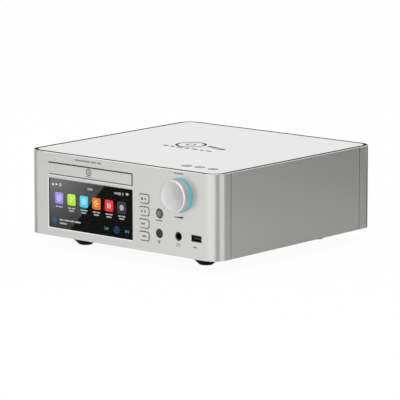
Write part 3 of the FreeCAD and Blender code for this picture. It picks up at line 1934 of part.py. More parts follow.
def standoffs():
    """Round pillars that carry the boards."""
    pillars = control_board_posts()
    for plan in BOARDS.values():
        for x, y in board_plan(*plan):
            pillars.append(
                tube((x, y, "floor_top"), "standoff_radius", "screw_radius", "standoff_height")
            )
    return node("standoffs", group(pillars))


def board_screws():
    """Screws that hold the boards on the standoffs."""
    screws = []
    for plan in BOARDS.values():
        for x, y in board_plan(*plan):
            head = rod((x, y, "board_top"), "screw_head_radius", "screw_head_height")
            shank = rod((x, y, "board_top - screw_length"), "screw_radius", "screw_length")
            screws.append(join([head, shank]))
    return screws


def chip(board, right, back, size):
    """A part that stands on a board: fractions of the board give its place."""
    left, front, board_width, board_length = BOARDS[board]
    return box(
        (
            f"{left} + {right} * {board_width} - {size[0]} / 2",
            f"{front} + {back} * {board_length} - {size[1]} / 2",
            "board_top",
        ),
        size,
    )


def board_chips():
    """Packages on the main board and the converter board."""
    square = ("chip_size", "chip_size", "chip_height")
    wide = ("chip_size", "small_chip_size", "chip_height")
    long = ("small_chip_size", "chip_size", "chip_height")
    can = ("small_chip_size", "small_chip_size", "tall_chip_height")
    return [
        chip("main_board", "1 / 4", "1 / 4", square),
        chip("main_board", "2 / 3", "1 / 3", wide),
        chip("main_board", "1 / 3", "2 / 3", long),
        chip("main_board", "3 / 4", "3 / 4", square),
        chip("dac_board", "1 / 3", "1 / 3", square),
        chip("dac_board", "2 / 3", "1 / 3", square),
        chip("dac_board", "1 / 2", "3 / 4", can),
    ]


def capacitors():
    """Smoothing capacitors on the power board."""
    left, front, _, _ = BOARDS["power_board"]
    cans = []
    for column in range(4):
        x = f"{left} + capacitor_inset + {column} * (2 * capacitor_radius + capacitor_gap)"
        y = f"{front} + capacitor_setback"
        cans.append(rod((x, y, "board_top"), "capacitor_radius", "capacitor_height"))
    return cans


def board_parts():
    """Everything that is soldered on the three boards, but for the heat sink."""
    return node("board_parts", group(board_chips() + capacitors()))


def heat_sink():
    """Finned block that cools the regulators on the power board."""
    left, front, width, _ = BOARDS["power_board"]
    start_x = f"{left} + ({width} - sink_length) / 2"
    base_y = f"{front} + sink_setback"
    base = box((start_x, base_y, "board_top"), ("sink_length", "fin_thickness * 2", "sink_height"))
    count = int(round(value("sink_length / fin_pitch")))
    fins = [
        box(
            (f"{start_x} + {index} * fin_pitch", base_y, "board_top"),
            ("fin_thickness", "fin_depth", "sink_height"),
        )
        for index in range(count)
    ]
    return node("heat_sink", join([base, *fins]))


def transformer():
    """Ring-shaped transformer that stands on the floor."""
    near = "transformer_bore"
    far = "transformer_radius"
    tall = "transformer_height"
    bend = "transformer_round"
    profile = [
        (f"{near}", f"{bend}"),
        (f"{near} + {bend}", "0"),
        (f"{far} - {bend}", "0"),
        (f"{far}", f"{bend}"),
        (f"{far}", f"{tall} - {bend}"),
        (f"{far} - {bend}", f"{tall}"),
        (f"{near} + {bend}", f"{tall}"),
        (f"{near}", f"{tall} - {bend}"),
    ]
    at = ("transformer_x", "transformer_y", "floor_top")
    return node("transformer", spun(at, profile))


def transformer_clamp():
    """Dished plate and bolt that hold the transformer down."""
    dish = "transformer_bore + transformer_round * 2"
    plate = "stand_thickness"
    bolt = "foot_screw_radius"
    profile = [
        ("0", "0"),
        (bolt, "0"),
        (bolt, "transformer_height"),
        (dish, "transformer_height"),
        (dish, f"transformer_height + {plate}"),
        ("foot_screw_head_radius", f"transformer_height + {plate}"),
        ("foot_screw_head_radius", f"transformer_height + {plate} + foot_screw_head_height"),
        ("0", f"transformer_height + {plate} + foot_screw_head_height"),
    ]
    at = ("transformer_x", "transformer_y", "floor_top")
    return node("transformer_clamp", spun(at, profile))


# Rear


def rear_plate():
    """Thin dark plate behind the rear frame, with a hole for each socket."""
    width = "rear_window_width + 2 * rear_plate_overlap"
    tall = "rear_window_height + 2 * rear_plate_overlap"
    middle = "case_low + rear_window_low + rear_window_height / 2"
    plate = box(
        (f"-({width}) / 2", "rear_plate_y", f"{middle} - ({tall}) / 2"),
        (width, "rear_plate_thickness", tall),
    )
    through = "3 * rear_plate_thickness"
    before = "rear_plate_y - rear_plate_thickness"
    holes = [
        rod((x, before, z), "screw_radius", through, "y") for x, z in rear_screw_places()
    ]
    holes += [
        rod((x, before, "phono_z"), "phono_radius", through, "y") for x in phono_places()
    ]
    holes += [
        rod((x, before, "antenna_z"), "antenna_radius", through, "y")
        for x in antenna_places()
    ]
    holes.append(
        box(
            (
                "inlet_x - inlet_body_width / 2",
                before,
                "inlet_z - inlet_body_tall / 2",
            ),
            ("inlet_body_width", through, "inlet_body_tall"),
        )
    )
    holes.append(
        box(
            (
                "switch_x - switch_width / 2",
                before,
                "inlet_z - switch_tall / 2",
            ),
            ("switch_width", through, "switch_tall"),
        )
    )
    holes.append(
        box(
            (
                "network_x - network_width / 2",
                before,
                "inlet_z - network_tall / 2",
            ),
            ("network_width", through, "network_tall"),
        )
    )
    return node("rear_plate", cut(plate, holes))


def rear_screws():
    """Screws that hold the rear plate to the frame, from inside."""
    screws = []
    for x, z in rear_screw_places():
        head = rod(
            (x, "rear_plate_y - screw_head_height", z),
            "screw_head_radius",
            "screw_head_height",
            "y",
        )
        shank = rod(
            (x, "rear_plate_y", z),
            "screw_radius",
            "rear_plate_thickness + wall_thickness / 2",
            "y",
        )
        screws.append(join([head, shank]))
    return screws


def machine_screws():
    """Every small screw of the loader, the boards and the rear plate."""
    return node("machine_screws", group(loader_screws() + board_screws() + rear_screws()))


def phono_places():
    """The phono sockets from left to right: x formulas."""
    return [f"phono_x + {index} * phono_pitch" for index in range(3)]


def antenna_places():
    """The two aerial posts: x formulas."""
    return [f"antenna_x + {index} * antenna_pitch" for index in range(2)]


def phono_sockets():
    """Round audio sockets with a flange on each side of the plate."""
    sockets = []
    for x in phono_places():
        barrel = rod((x, "rear_plate_y", "phono_z"), "phono_radius", "phono_length", "y")
        body = rod(
            (x, "rear_plate_y - phono_length", "phono_z"),
            "phono_base_radius",
            "phono_length",
            "y",
        )
        bore = rod((x, "rear_plate_y", "phono_z"), "phono_bore_radius", "phono_length", "y")
        sockets.append(cut(join([barrel, body]), [bore]))
    return node("phono_sockets", group(sockets))


def aerial_posts():
    """Threaded aerial sockets with a nut."""
    posts = []
    z = "antenna_z"
    for x in antenna_places():
        nut = rod((x, "inner_rear_y", z), "antenna_nut_radius", "wall_thickness / 2", "y")
        post = rod(
            (x, "rear_plate_y - wall_thickness", z),
            "antenna_radius",
            "post_tip_y - rear_plate_y + wall_thickness",
            "y",
        )
        collar = rod(
            (x, "rear_plate_y - wall_thickness", z), "antenna_nut_radius", "wall_thickness", "y"
        )
        posts.append(join([nut, post, collar]))
    return node("aerial_posts", group(posts))


def mains_inlet():
    """Mains inlet with three blades in its cavity."""
    flange = box(
        ("inlet_x - inlet_width / 2", "inner_rear_y", "inlet_z - inlet_tall / 2"),
        ("inlet_width", "inlet_flange", "inlet_tall"),
    )
    body = box(
        (
            "inlet_x - inlet_body_width / 2",
            "inner_rear_y - inlet_body_depth",
            "inlet_z - inlet_body_tall / 2",
        ),
        (
            "inlet_body_width",
            "inlet_body_depth + inlet_flange / 2",
            "inlet_body_tall",
        ),
    )
    cavity = box(
        (
            "inlet_x - inlet_cavity_width / 2",
            "inner_rear_y + inlet_flange - inlet_depth",
            "inlet_z - inlet_cavity_tall / 2",
        ),
        ("inlet_cavity_width", "inlet_body_depth", "inlet_cavity_tall"),
    )
    return node("mains_inlet", join([cut(join([flange, body]), [cavity]), *inlet_blades()]))


def inlet_blades():
    """Three contact blades inside the mains inlet."""
    thick = "inlet_flange"
    start = "inner_rear_y + inlet_flange - inlet_depth"
    spots = (
        ("inlet_x - blade_pitch", "inlet_z - blade_rise"),
        ("inlet_x", "inlet_z + blade_rise"),
        ("inlet_x + blade_pitch", "inlet_z - blade_rise"),
    )
    return [
        box(
            (f"{x} - {thick} / 2", start, f"{z} - {thick}"),
            (thick, "inlet_depth / 2", f"2 * {thick}"),
        )
        for x, z in spots
    ]


def switch_frame():
    """Frame of the mains switch."""
    outer = box(
        (
            "switch_x - switch_width / 2",
            "inner_rear_y - switch_depth",
            "inlet_z - switch_tall / 2",
        ),
        ("switch_width", "switch_depth + switch_wall", "switch_tall"),
    )
    inner = box(
        (
            "switch_x - switch_width / 2 + switch_wall",
            "inner_rear_y - switch_depth + switch_wall",
            "inlet_z - switch_tall / 2 + switch_wall",
        ),
        (
            "switch_width - 2 * switch_wall",
            "switch_depth * 2",
            "switch_tall - 2 * switch_wall",
        ),
    )
    pivot = rod(
        ("switch_x - switch_width / 2", "inner_rear_y - rocker_pin_depth", "inlet_z"),
        "rocker_pin_radius + running_clearance",
        "switch_width",
        "x",
    )
    return node("switch_frame", cut(outer, [inner, pivot]))


def mains_rocker():
    """Rocker of the mains switch, stored tilted to its lower side."""
    wide = "(switch_width - 2 * switch_wall - 2 * loose_clearance)"
    reach = "(switch_tall / 2 - switch_wall - rocker_gap)"
    tilt = "(rocker_tilt * 1 deg)"
    upright = [
        ("-rocker_keel", "-rocker_keel_half"),
        ("-rocker_keel", "rocker_keel_half"),
        ("0", f"{reach} * cos{tilt}"),
        ("rocker_rise", f"{reach} * cos{tilt} - rocker_rise * tan{tilt}"),
        ("rocker_rise", f"rocker_rise * tan{tilt} - {reach} * cos{tilt}"),
        ("0", f"-{reach} * cos{tilt}"),
    ]
    profile = [
        (f"({u}) * cos{tilt} - ({w}) * sin{tilt}", f"({u}) * sin{tilt} + ({w}) * cos{tilt}")
        for u, w in upright
    ]
    turn = FreeCAD.Rotation(FreeCAD.Vector(1, 1, 1), 120)
    at = (f"switch_x - {wide} / 2", "inner_rear_y - rocker_pin_depth", "inlet_z")
    body = extruded(at, profile, wide, turn)
    pin_bar = rod(
        (
            "switch_x - switch_width / 2 + loose_clearance",
            "inner_rear_y - rocker_pin_depth",
            "inlet_z",
        ),
        "rocker_pin_radius",
        "switch_width - 2 * loose_clearance",
        "x",
    )
    return node("mains_rocker", join([body, pin_bar]))


def network_socket():
    """Square data socket with an open mouth."""
    body = box(
        (
            "network_x - network_width / 2",
            "inner_rear_y + network_wall - network_body_depth",
            "inlet_z - network_tall / 2",
        ),
        ("network_width", "network_body_depth", "network_tall"),
    )
    hollow = box(
        (
            "network_x - network_width / 2 + network_wall",
            "inner_rear_y + network_wall - network_depth",
            "inlet_z - network_tall / 2 + network_wall",
        ),
        (
            "network_width - 2 * network_wall",
            "network_depth * 2",
            "network_tall - 2 * network_wall",
        ),
    )
    return node("network_socket", cut(body, [hollow]))


def build():
    """Make every sub-part of the player."""
    front_panel()
    side_panel("side_panel_left", -1)
    side_panel("side_panel_right", 1)
    rear_frame()
    floor_plate()
    lid()
    top_plate()
    feet()
    foot_screws()
    corner_blocks()
    screen_glass()
    screen_module()
    keys()
    standby_button()
    eye_window()
    knob()
    encoder_shaft()
    encoder()
    light_ring()
    headphone_jack()
    usb_socket()
    control_board()
    key_switches()
    drawer_front()
    tray()
    loader_chassis()
    loader_stands()
    tray_gear()
    drive_wheel()
    motor_pulley()
    drive_belt()
    loading_motor()
    cradle()
    guide_rods()
    spindle_motor()
    turntable()
    sled()
    sled_gear()
    sled_motor()
    clamp_bridge()
    clamp_puck()
    boards()
    standoffs()
    board_parts()
    heat_sink()
    transformer()
    transformer_clamp()
    rear_plate()
    machine_screws()
    phono_sockets()
    aerial_posts()
    mains_inlet()
    switch_frame()
    mains_rocker()
    network_socket()


def check_objects():
    """Stop if any object failed or any sub-part has no valid shape."""
    for item in doc.Objects:
        if {"Invalid", "Error"} & set(item.State):
            raise RuntimeError(f"{item.Label} failed: {item.State}")
    for label, item in NODES.items():
        if item.Shape.isNull() or not item.Shape.isValid():
            raise RuntimeError(f"{label} has no valid shape")


def export():
    """Write each sub-part to its own file."""
    os.makedirs("parts", exist_ok=True)
    for label, item in NODES.items():
        item.Shape.exportStep(f"parts/{label}.step")
    print(len(NODES), "sub-parts written")


fill_sheets()
build()
doc.recompute()
check_objects()
export()
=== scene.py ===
"""Looks of the disc player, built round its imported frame, in metres and in the same frame."""

from __future__ import annotations

import json
import logging
import math
import random
from collections.abc import Callable
from dataclasses import dataclass
from enum import Enum

import bmesh
import bpy
from mathutils import Matrix, Vector

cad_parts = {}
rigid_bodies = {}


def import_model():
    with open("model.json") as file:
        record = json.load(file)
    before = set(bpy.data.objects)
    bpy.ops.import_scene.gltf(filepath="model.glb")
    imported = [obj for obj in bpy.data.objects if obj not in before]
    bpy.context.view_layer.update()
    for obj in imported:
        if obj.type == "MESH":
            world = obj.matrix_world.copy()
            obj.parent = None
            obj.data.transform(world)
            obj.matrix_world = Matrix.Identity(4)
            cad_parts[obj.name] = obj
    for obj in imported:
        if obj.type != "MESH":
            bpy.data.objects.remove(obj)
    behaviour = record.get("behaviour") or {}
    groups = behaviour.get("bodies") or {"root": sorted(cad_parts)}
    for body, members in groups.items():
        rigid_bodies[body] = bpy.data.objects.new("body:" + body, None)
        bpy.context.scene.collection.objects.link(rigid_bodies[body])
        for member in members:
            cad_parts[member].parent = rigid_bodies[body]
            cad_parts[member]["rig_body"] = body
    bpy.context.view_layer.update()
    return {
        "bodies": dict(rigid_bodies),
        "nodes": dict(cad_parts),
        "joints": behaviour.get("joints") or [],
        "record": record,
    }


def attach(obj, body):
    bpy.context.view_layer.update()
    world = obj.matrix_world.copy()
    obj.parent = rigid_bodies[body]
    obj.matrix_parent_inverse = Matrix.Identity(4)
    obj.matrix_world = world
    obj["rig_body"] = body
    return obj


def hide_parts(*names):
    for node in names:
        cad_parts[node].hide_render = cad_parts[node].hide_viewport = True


MM = 0.001
LOG = logging.getLogger("disc_player")

WHITE = (1.0, 1.0, 1.0, 1.0)
BLACK = (0.0, 0.0, 0.0, 1.0)
MERGE_DISTANCE = 2e-6
FLAT_ANGLE = 0.4
UPRIGHT_LIMIT = 0.9
SMOOTH_ANGLE = 30.0
FACE_WEIGHT = 100
SIZE_SLACK = 0.1

CORNER_STEPS = 6
DISC_STEPS = 36
ARC_STEP = 12
LEAST_ARC_STEPS = 4
BAR_ROUNDING = 0.45

GRAIN_GROUP = "worked_grain"
GRAIN_SCALE = 1200.0
GRAIN_RANGE = (-0.6, 1.6)
HANDLING_GROUP = "handling_marks"
HANDLING_SIZE = 14.0
HANDLING_RANGE = (-0.3, 1.3)

Point = tuple[float, float]
Triple = tuple[float, float, float]
Mesh = bpy.types.Mesh
Node = bpy.types.Node
Piece = bpy.types.Object
Socket = bpy.types.NodeSocket
Tree = bpy.types.NodeTree
Strokes = tuple[tuple, ...]


class Grain(Enum):
    """How a surface is worked, as the stretch of its grain along X, Y and Z."""

    BLASTED = (1.0, 1.0, 1.0)
    BRUSHED_ALONG_X = (0.03, 1.0, 1.0)
    BRUSHED_ALONG_Y = (1.0, 0.03, 1.0)
    DRAWN_ALONG_Z = (1.0, 1.0, 0.04)
    MOULDED = (0.9, 0.9, 1.1)


class Symbol(Enum):
    """The plain signs on the keys and the screen."""

    STOP_EJECT = "stop_eject"
    PLAY_PAUSE = "play_pause"
    PREVIOUS = "previous"
    NEXT = "next"
    DISC = "disc"
    NOTE = "note"
    GLOBE = "globe"
    ARROW_IN = "arrow_in"
    SLIDERS = "sliders"
    COG = "cog"


class Side(Enum):
    """Which way a flat drawing faces: the axis across it, and the sign of that way."""

    FRONT = (1, -1)
    REAR = (1, 1)
    LEFT = (0, -1)
    RIGHT = (0, 1)
    BOTTOM = (2, -1)
    TOP = (2, 1)


class Graph:
    """A node tree with short calls for its nodes and links."""

    def __init__(self, tree: Tree) -> None:
        """Takes over a tree and empties it."""
        self.tree = tree
        tree.nodes.clear()

    def add(self, kind: str, inputs: dict[str | int, object] | None = None, **settings: object) -> Node:
        """Adds a node.

        Args:
            kind: Blender's name for the node.
            inputs: a value, or an output socket to link, for each named input.
            settings: the node's own options.

        Returns:
            The new node.
        """
        node = self.tree.nodes.new(kind)
        for name, option in settings.items():
            setattr(node, name, option)
        for name, given in (inputs or {}).items():
            if isinstance(given, Socket):
                self.tree.links.new(given, node.inputs[name])
            else:
                node.inputs[name].default_value = given
        return node

    def place(self) -> Socket:
        """Returns the object's own coordinates."""
        return self.add("ShaderNodeTexCoord").outputs["Object"]

    def noise(self, place: Socket, scale: object, detail: float = 2.0, roughness: float = 0.5) -> Socket:
        """Returns a soft noise of a scale, from 0 to 1."""
        inputs = {"Vector": place, "Scale": scale, "Detail": detail, "Roughness": roughness}
        return self.add("ShaderNodeTexNoise", inputs).outputs["Fac"]

    def blend(self, share: object, first: object, second: object) -> Socket:
        """Returns two colours mixed by the second one's share, each given as a value or a socket."""
        return self.add("ShaderNodeMix", {0: share, 6: first, 7: second}, data_type="RGBA").outputs[2]

    def ranged(self, source: Socket, low: float, high: float, start: float = 0.0, end: float = 1.0) -> Socket:
        """Returns the source with start to end mapped onto low to high."""
        inputs = {"Value": source, "From Min": start, "From Max": end, "To Min": low, "To Max": high}
        return self.add("ShaderNodeMapRange", inputs).outputs["Result"]

    def combine(self, operation: str, first: object, second: object) -> Socket:
        """Returns the sum, the product or the comparison of two numbers."""
        return self.add("ShaderNodeMath", {0: first, 1: second}, operation=operation).outputs[0]

    def vector(self, operation: str, first: Socket, second: object = (0.0, 0.0, 0.0)) -> Socket:
        """Returns the result of an operation on vectors, which is a number for a length or a dot product."""
        node = self.add("ShaderNodeVectorMath", {0: first, 1: second}, operation=operation)
        return node.outputs["Value" if operation in ("LENGTH", "DOT_PRODUCT") else "Vector"]

    def bump(self, height: Socket, distance: float, strength: float) -> Socket:
        """Returns the normal of a surface that a height raises."""
        inputs = {"Height": height, "Distance": distance, "Strength": strength}
        return self.add("ShaderNodeBump", inputs).outputs["Normal"]

    def grain(self, scale: float, grain: Grain = Grain.BLASTED) -> Node:
        """Puts in the shared grain and returns its node."""
        inputs = {"Scale": scale, "Stretch": grain.value}
        return self.add("ShaderNodeGroup", inputs, node_tree=bpy.data.node_groups[GRAIN_GROUP])

    def smudge(self, size: float = HANDLING_SIZE) -> Socket:
        """Puts in the shared handling marks and returns their strength."""
        group = bpy.data.node_groups[HANDLING_GROUP]
        return self.add("ShaderNodeGroup", {"Size": size}, node_tree=group).outputs["Smudge"]


def scaled(colour: Triple, share: float = 1.0) -> tuple[float, float, float, float]:
    """Returns the colour made lighter or darker by a share, with full cover."""
    return (*(min(1.0, part * share) for part in colour), 1.0)


def on_circle(x: float, z: float, radius: float, degrees: float) -> Point:
    """Returns a point of a circle."""
    turn = math.radians(degrees)
    return (x + radius * math.cos(turn), z + radius * math.sin(turn))


def quarter(x: float, z: float, radius: float, start: float) -> list[Point]:
    """Returns the points of a quarter of a circle, from a starting angle on."""
    steps = range(CORNER_STEPS + 1)
    return [on_circle(x, z, radius, start + 90 * step / CORNER_STEPS) for step in steps]


def new_material(name: str, shade: Callable[[Graph], Node]) -> bpy.types.Material:
    """Makes a material.

    Args:
        name: its name.
        shade: adds the nodes and returns the last one, whose first output is the surface.

    Returns:
        The new material.
    """
    material = bpy.data.materials.new(name)
    material.use_nodes = True
    graph = Graph(material.node_tree)
    graph.add("ShaderNodeOutputMaterial", {"Surface": shade(graph).outputs[0]})
    return material


def new_group(name: str, inputs: dict[str, object], outputs: tuple[str, ...]) -> tuple[Graph, Node]:
    """Starts a shader node group.

    Args:
        name: the group's name.
        inputs: each input's name and starting value.
        outputs: the names of the values that it gives.

    Returns:
        The group's graph and its input node.
    """
    tree = bpy.data.node_groups.new(name, "ShaderNodeTree")
    for label, given in inputs.items():
        kind = "NodeSocketVector" if isinstance(given, tuple) else "NodeSocketFloat"
        tree.interface.new_socket(label, in_out="INPUT", socket_type=kind).default_value = given
    for label in outputs:
        tree.interface.new_socket(label, in_out="OUTPUT", socket_type="NodeSocketFloat")
    graph = Graph(tree)
    return graph, graph.add("NodeGroupInput")


def build_grain_group() -> None:
    """Builds the shared fine grain, stretched along the way the surface was worked."""
    inputs = {"Scale": GRAIN_SCALE, "Stretch": Grain.BLASTED.value}
    graph, start = new_group(GRAIN_GROUP, inputs, ("Height", "Shade"))
    stretched = graph.vector("MULTIPLY", graph.place(), start.outputs["Stretch"])
    fine = graph.noise(stretched, start.outputs["Scale"], detail=3.0, roughness=0.6)
    graph.add("NodeGroupOutput", {"Height": fine, "Shade": graph.ranged(fine, *GRAIN_RANGE)})


def build_handling_group() -> None:
    """Builds the shared soft unevenness that handling and wiping leave."""
    graph, start = new_group(HANDLING_GROUP, {"Size": HANDLING_SIZE}, ("Smudge",))
    wide = graph.noise(graph.place(), start.outputs["Size"])
    graph.add("NodeGroupOutput", {"Smudge": graph.ranged(wide, *HANDLING_RANGE)})


@dataclass(frozen=True)
class Finish:
    """A solid surface: its colour, sheen and grain."""

    name: str
    colour: Triple
    roughness: float
    metallic: float = 0.0
    grain: Grain = Grain.BLASTED
    grain_scale: float = GRAIN_SCALE
    grain_depth: float = 0.00002
    grain_strength: float = 0.6
    tint: float = 0.03
    spread: float = 0.05
    least_roughness: float = 0.02
    smudge_share: float = 0.1
    specular: float = 0.5

    def shade(self, graph: Graph) -> Node:
        """Adds the finish's nodes and returns the last."""
        grain = graph.grain(self.grain_scale, self.grain)
        smudge = graph.smudge()
        dark, light = (scaled(self.colour, 1 + way * self.tint) for way in (-1, 1))
        base = graph.blend(grain.outputs["Shade"], dark, light)
        smoothest = max(self.least_roughness, self.roughness - self.spread)
        return graph.add(
            "ShaderNodeBsdfPrincipled",
            {
                "Base Color": graph.blend(graph.ranged(smudge, 0.0, self.smudge_share), base, dark),
                "Roughness": graph.ranged(smudge, smoothest, self.roughness + self.spread),
                "Metallic": self.metallic,
                "Specular IOR Level": self.specular,
                "Normal": graph.bump(grain.outputs["Height"], self.grain_depth, self.grain_strength),
            },
        )


@dataclass(frozen=True)
class LitFinish:
    """A face that gives light, weaker towards its foot, and towards its right where it drifts."""

    name: str
    colour: Triple
    strength: float = 1.0
    foot: float = 0.0
    height: float = 0.1
    fade: float = 0.12
    drift: float = 0.0
    left: float = -0.1086
    reach: float = 0.0843
    speckle_scale: float = 4000.0
    speckle: float = 0.06

    def shade(self, graph: Graph) -> Node:
        """Adds the finish's nodes and returns the last."""
        apart = graph.add("ShaderNodeSeparateXYZ", {"Vector": graph.place()}).outputs
        rise = graph.ranged(apart["Z"], 0.0, 1.0, self.foot, self.foot + self.height)
        across = graph.ranged(apart["X"], 0.0, self.drift, self.left, self.left + self.reach)
        grain = graph.grain(self.speckle_scale).outputs["Shade"]
        light = graph.blend(rise, scaled(self.colour, 1 - self.fade), scaled(self.colour))
        light = graph.blend(across, light, BLACK)
        return graph.add(
            "ShaderNodeBsdfPrincipled",
            {
                "Base Color": BLACK,
                "Roughness": 0.5,
                "Specular IOR Level": 0.0,
                "Emission Color": graph.blend(graph.ranged(grain, 0.0, self.speckle), light, BLACK),
                "Emission Strength": self.strength,
            },
        )


@dataclass(frozen=True)
class TurnedFinish:
    """Metal turned on a lathe: fine rings round its axis, which lies along Y."""

    name: str
    colour: Triple
    roughness: float = 0.3
    spread: float = 0.01
    metallic: float = 0.9
    middle: Triple = (0.0879, 0.0, 0.0832)
    rings: float = 4500.0
    ring_contrast: float = 0.015
    ring_depth: float = 0.000002
    ring_strength: float = 0.5
    grain_scale: float = 2500.0
    streak: float = 0.18
    # Painted shade: the face within this radius and the side behind side_start get darker copies of the
    # colour than the bevel; the face's darkening is partly a duller finish of its own
    face_radius: float = 0.0173
    face_finish_and_shade_share: float = 0.60
    side_start: float = -0.1491
    side_shade_share: float = 0.86

    def shade(self, graph: Graph) -> Node:
        """Adds the finish's nodes and returns the last."""
        place = graph.place()
        flat = graph.vector("MULTIPLY", graph.vector("SUBTRACT", place, self.middle), (1.0, 0.0, 1.0))
        radius = graph.vector("LENGTH", flat)
        inputs = {"W": radius, "Scale": self.rings, "Detail": 2.0}
        rings = graph.add("ShaderNodeTexNoise", inputs, noise_dimensions="1D").outputs["Fac"]
        # Full colour on the bevel, painted shade on the side, and on the face a duller finish with painted
        # shade
        shares = (1.0, self.side_shade_share, self.face_finish_and_shade_share)
        bright, side, dull = (self.ringed(graph, rings, share) for share in shares)
        along = graph.add("ShaderNodeSeparateXYZ", {"Vector": place}).outputs["Y"]
        on_side = graph.combine("GREATER_THAN", along, self.side_start)
        on_face = graph.combine("LESS_THAN", radius, self.face_radius)
        grain = graph.grain(self.grain_scale).outputs["Shade"]
        return graph.add(
            "ShaderNodeBsdfPrincipled",
            {
                "Base Color": graph.blend(on_face, graph.blend(on_side, bright, side), dull),
                "Roughness": graph.ranged(grain, self.roughness - self.spread, self.roughness + self.spread),
                "Metallic": self.metallic,
                "Anisotropic": self.streak,
                "Tangent": graph.vector("CROSS_PRODUCT", flat, (0.0, 1.0, 0.0)),
                "Normal": graph.bump(rings, self.ring_depth, self.ring_strength),
            },
        )

    def ringed(self, graph: Graph, rings: Socket, share: float) -> Socket:
        """Returns the colour at a share of its strength, with the fine rings in it."""
        low, high = (scaled(self.colour, share * (1 + way * self.ring_contrast)) for way in (-1, 1))
        return graph.blend(rings, low, high)


@dataclass(frozen=True)
class SmokedGlass:
    """Clear or smoked glass with faint wiping marks."""

    name: str
    colour: Triple
    ior: float = 1.3
    roughness: float = 0.02
    smudge_size: float = 30.0

    def shade(self, graph: Graph) -> Node:
        """Adds the finish's nodes and returns the last."""
        smudge = graph.smudge(self.smudge_size)
        return graph.add(
            "ShaderNodeBsdfPrincipled",
            {
                "Base Color": scaled(self.colour),
                "Roughness": graph.ranged(smudge, self.roughness, self.roughness * 2),
                "Transmission Weight": 1.0,
                "IOR": self.ior,
            },
        )


@dataclass(frozen=True)
class CircuitBoard:
    """Green solder mask over copper tracks, with tinned pads."""

    name: str
    mask: Triple = (0.03, 0.17, 0.08)
    track: Triple = (0.06, 0.27, 0.13)
    pad: Triple = (0.62, 0.60, 0.52)
    track_scale: float = 150.0
    track_size: Point = (1.4, 0.35)
    track_gap: float = 0.03
    track_softness: float = 0.1
    track_depth: float = 0.00005
    track_strength: float = 0.5
    pad_scale: float = 190.0
    pad_radius: float = 0.13
    pad_spread: float = 0.45
    roughness: Point = (0.42, 0.28)

    def shade(self, graph: Graph) -> Node:
        """Adds the finish's nodes and returns the last."""
        place = graph.place()
        rows = {"Vector": place, "Scale": self.track_scale, "Mortar Smooth": self.track_softness}
        rows |= {"Mortar Size": self.track_gap}
        rows |= {"Brick Width": self.track_size[0], "Row Height": self.track_size[1]}
        tracks = graph.add("ShaderNodeTexBrick", rows).outputs["Fac"]
        drops = {"Vector": place, "Scale": self.pad_scale, "Randomness": self.pad_spread}
        distance = graph.add("ShaderNodeTexVoronoi", drops).outputs["Distance"]
        pads = graph.combine("LESS_THAN", distance, self.pad_radius)
        green = graph.blend(tracks, scaled(self.mask), scaled(self.track))
        return graph.add(
            "ShaderNodeBsdfPrincipled",
            {
                "Base Color": graph.blend(pads, green, scaled(self.pad)),
                "Roughness": graph.ranged(pads, *self.roughness),
                "Metallic": pads,
                "Normal": graph.bump(tracks, self.track_depth, self.track_strength),
            },
        )


TILE_COLOURS: dict[str, Triple] = {
    "tile_purple": (0.46, 0.33, 1.0),
    "tile_lime": (0.55, 1.0, 0.07),
    "tile_cyan": (0.075, 0.80, 1.0),
    "tile_orange": (1.0, 0.23, 0.013),
    "tile_red": (1.0, 0.05, 0.04),
    "tile_grey": (0.045, 0.045, 0.0468),
}

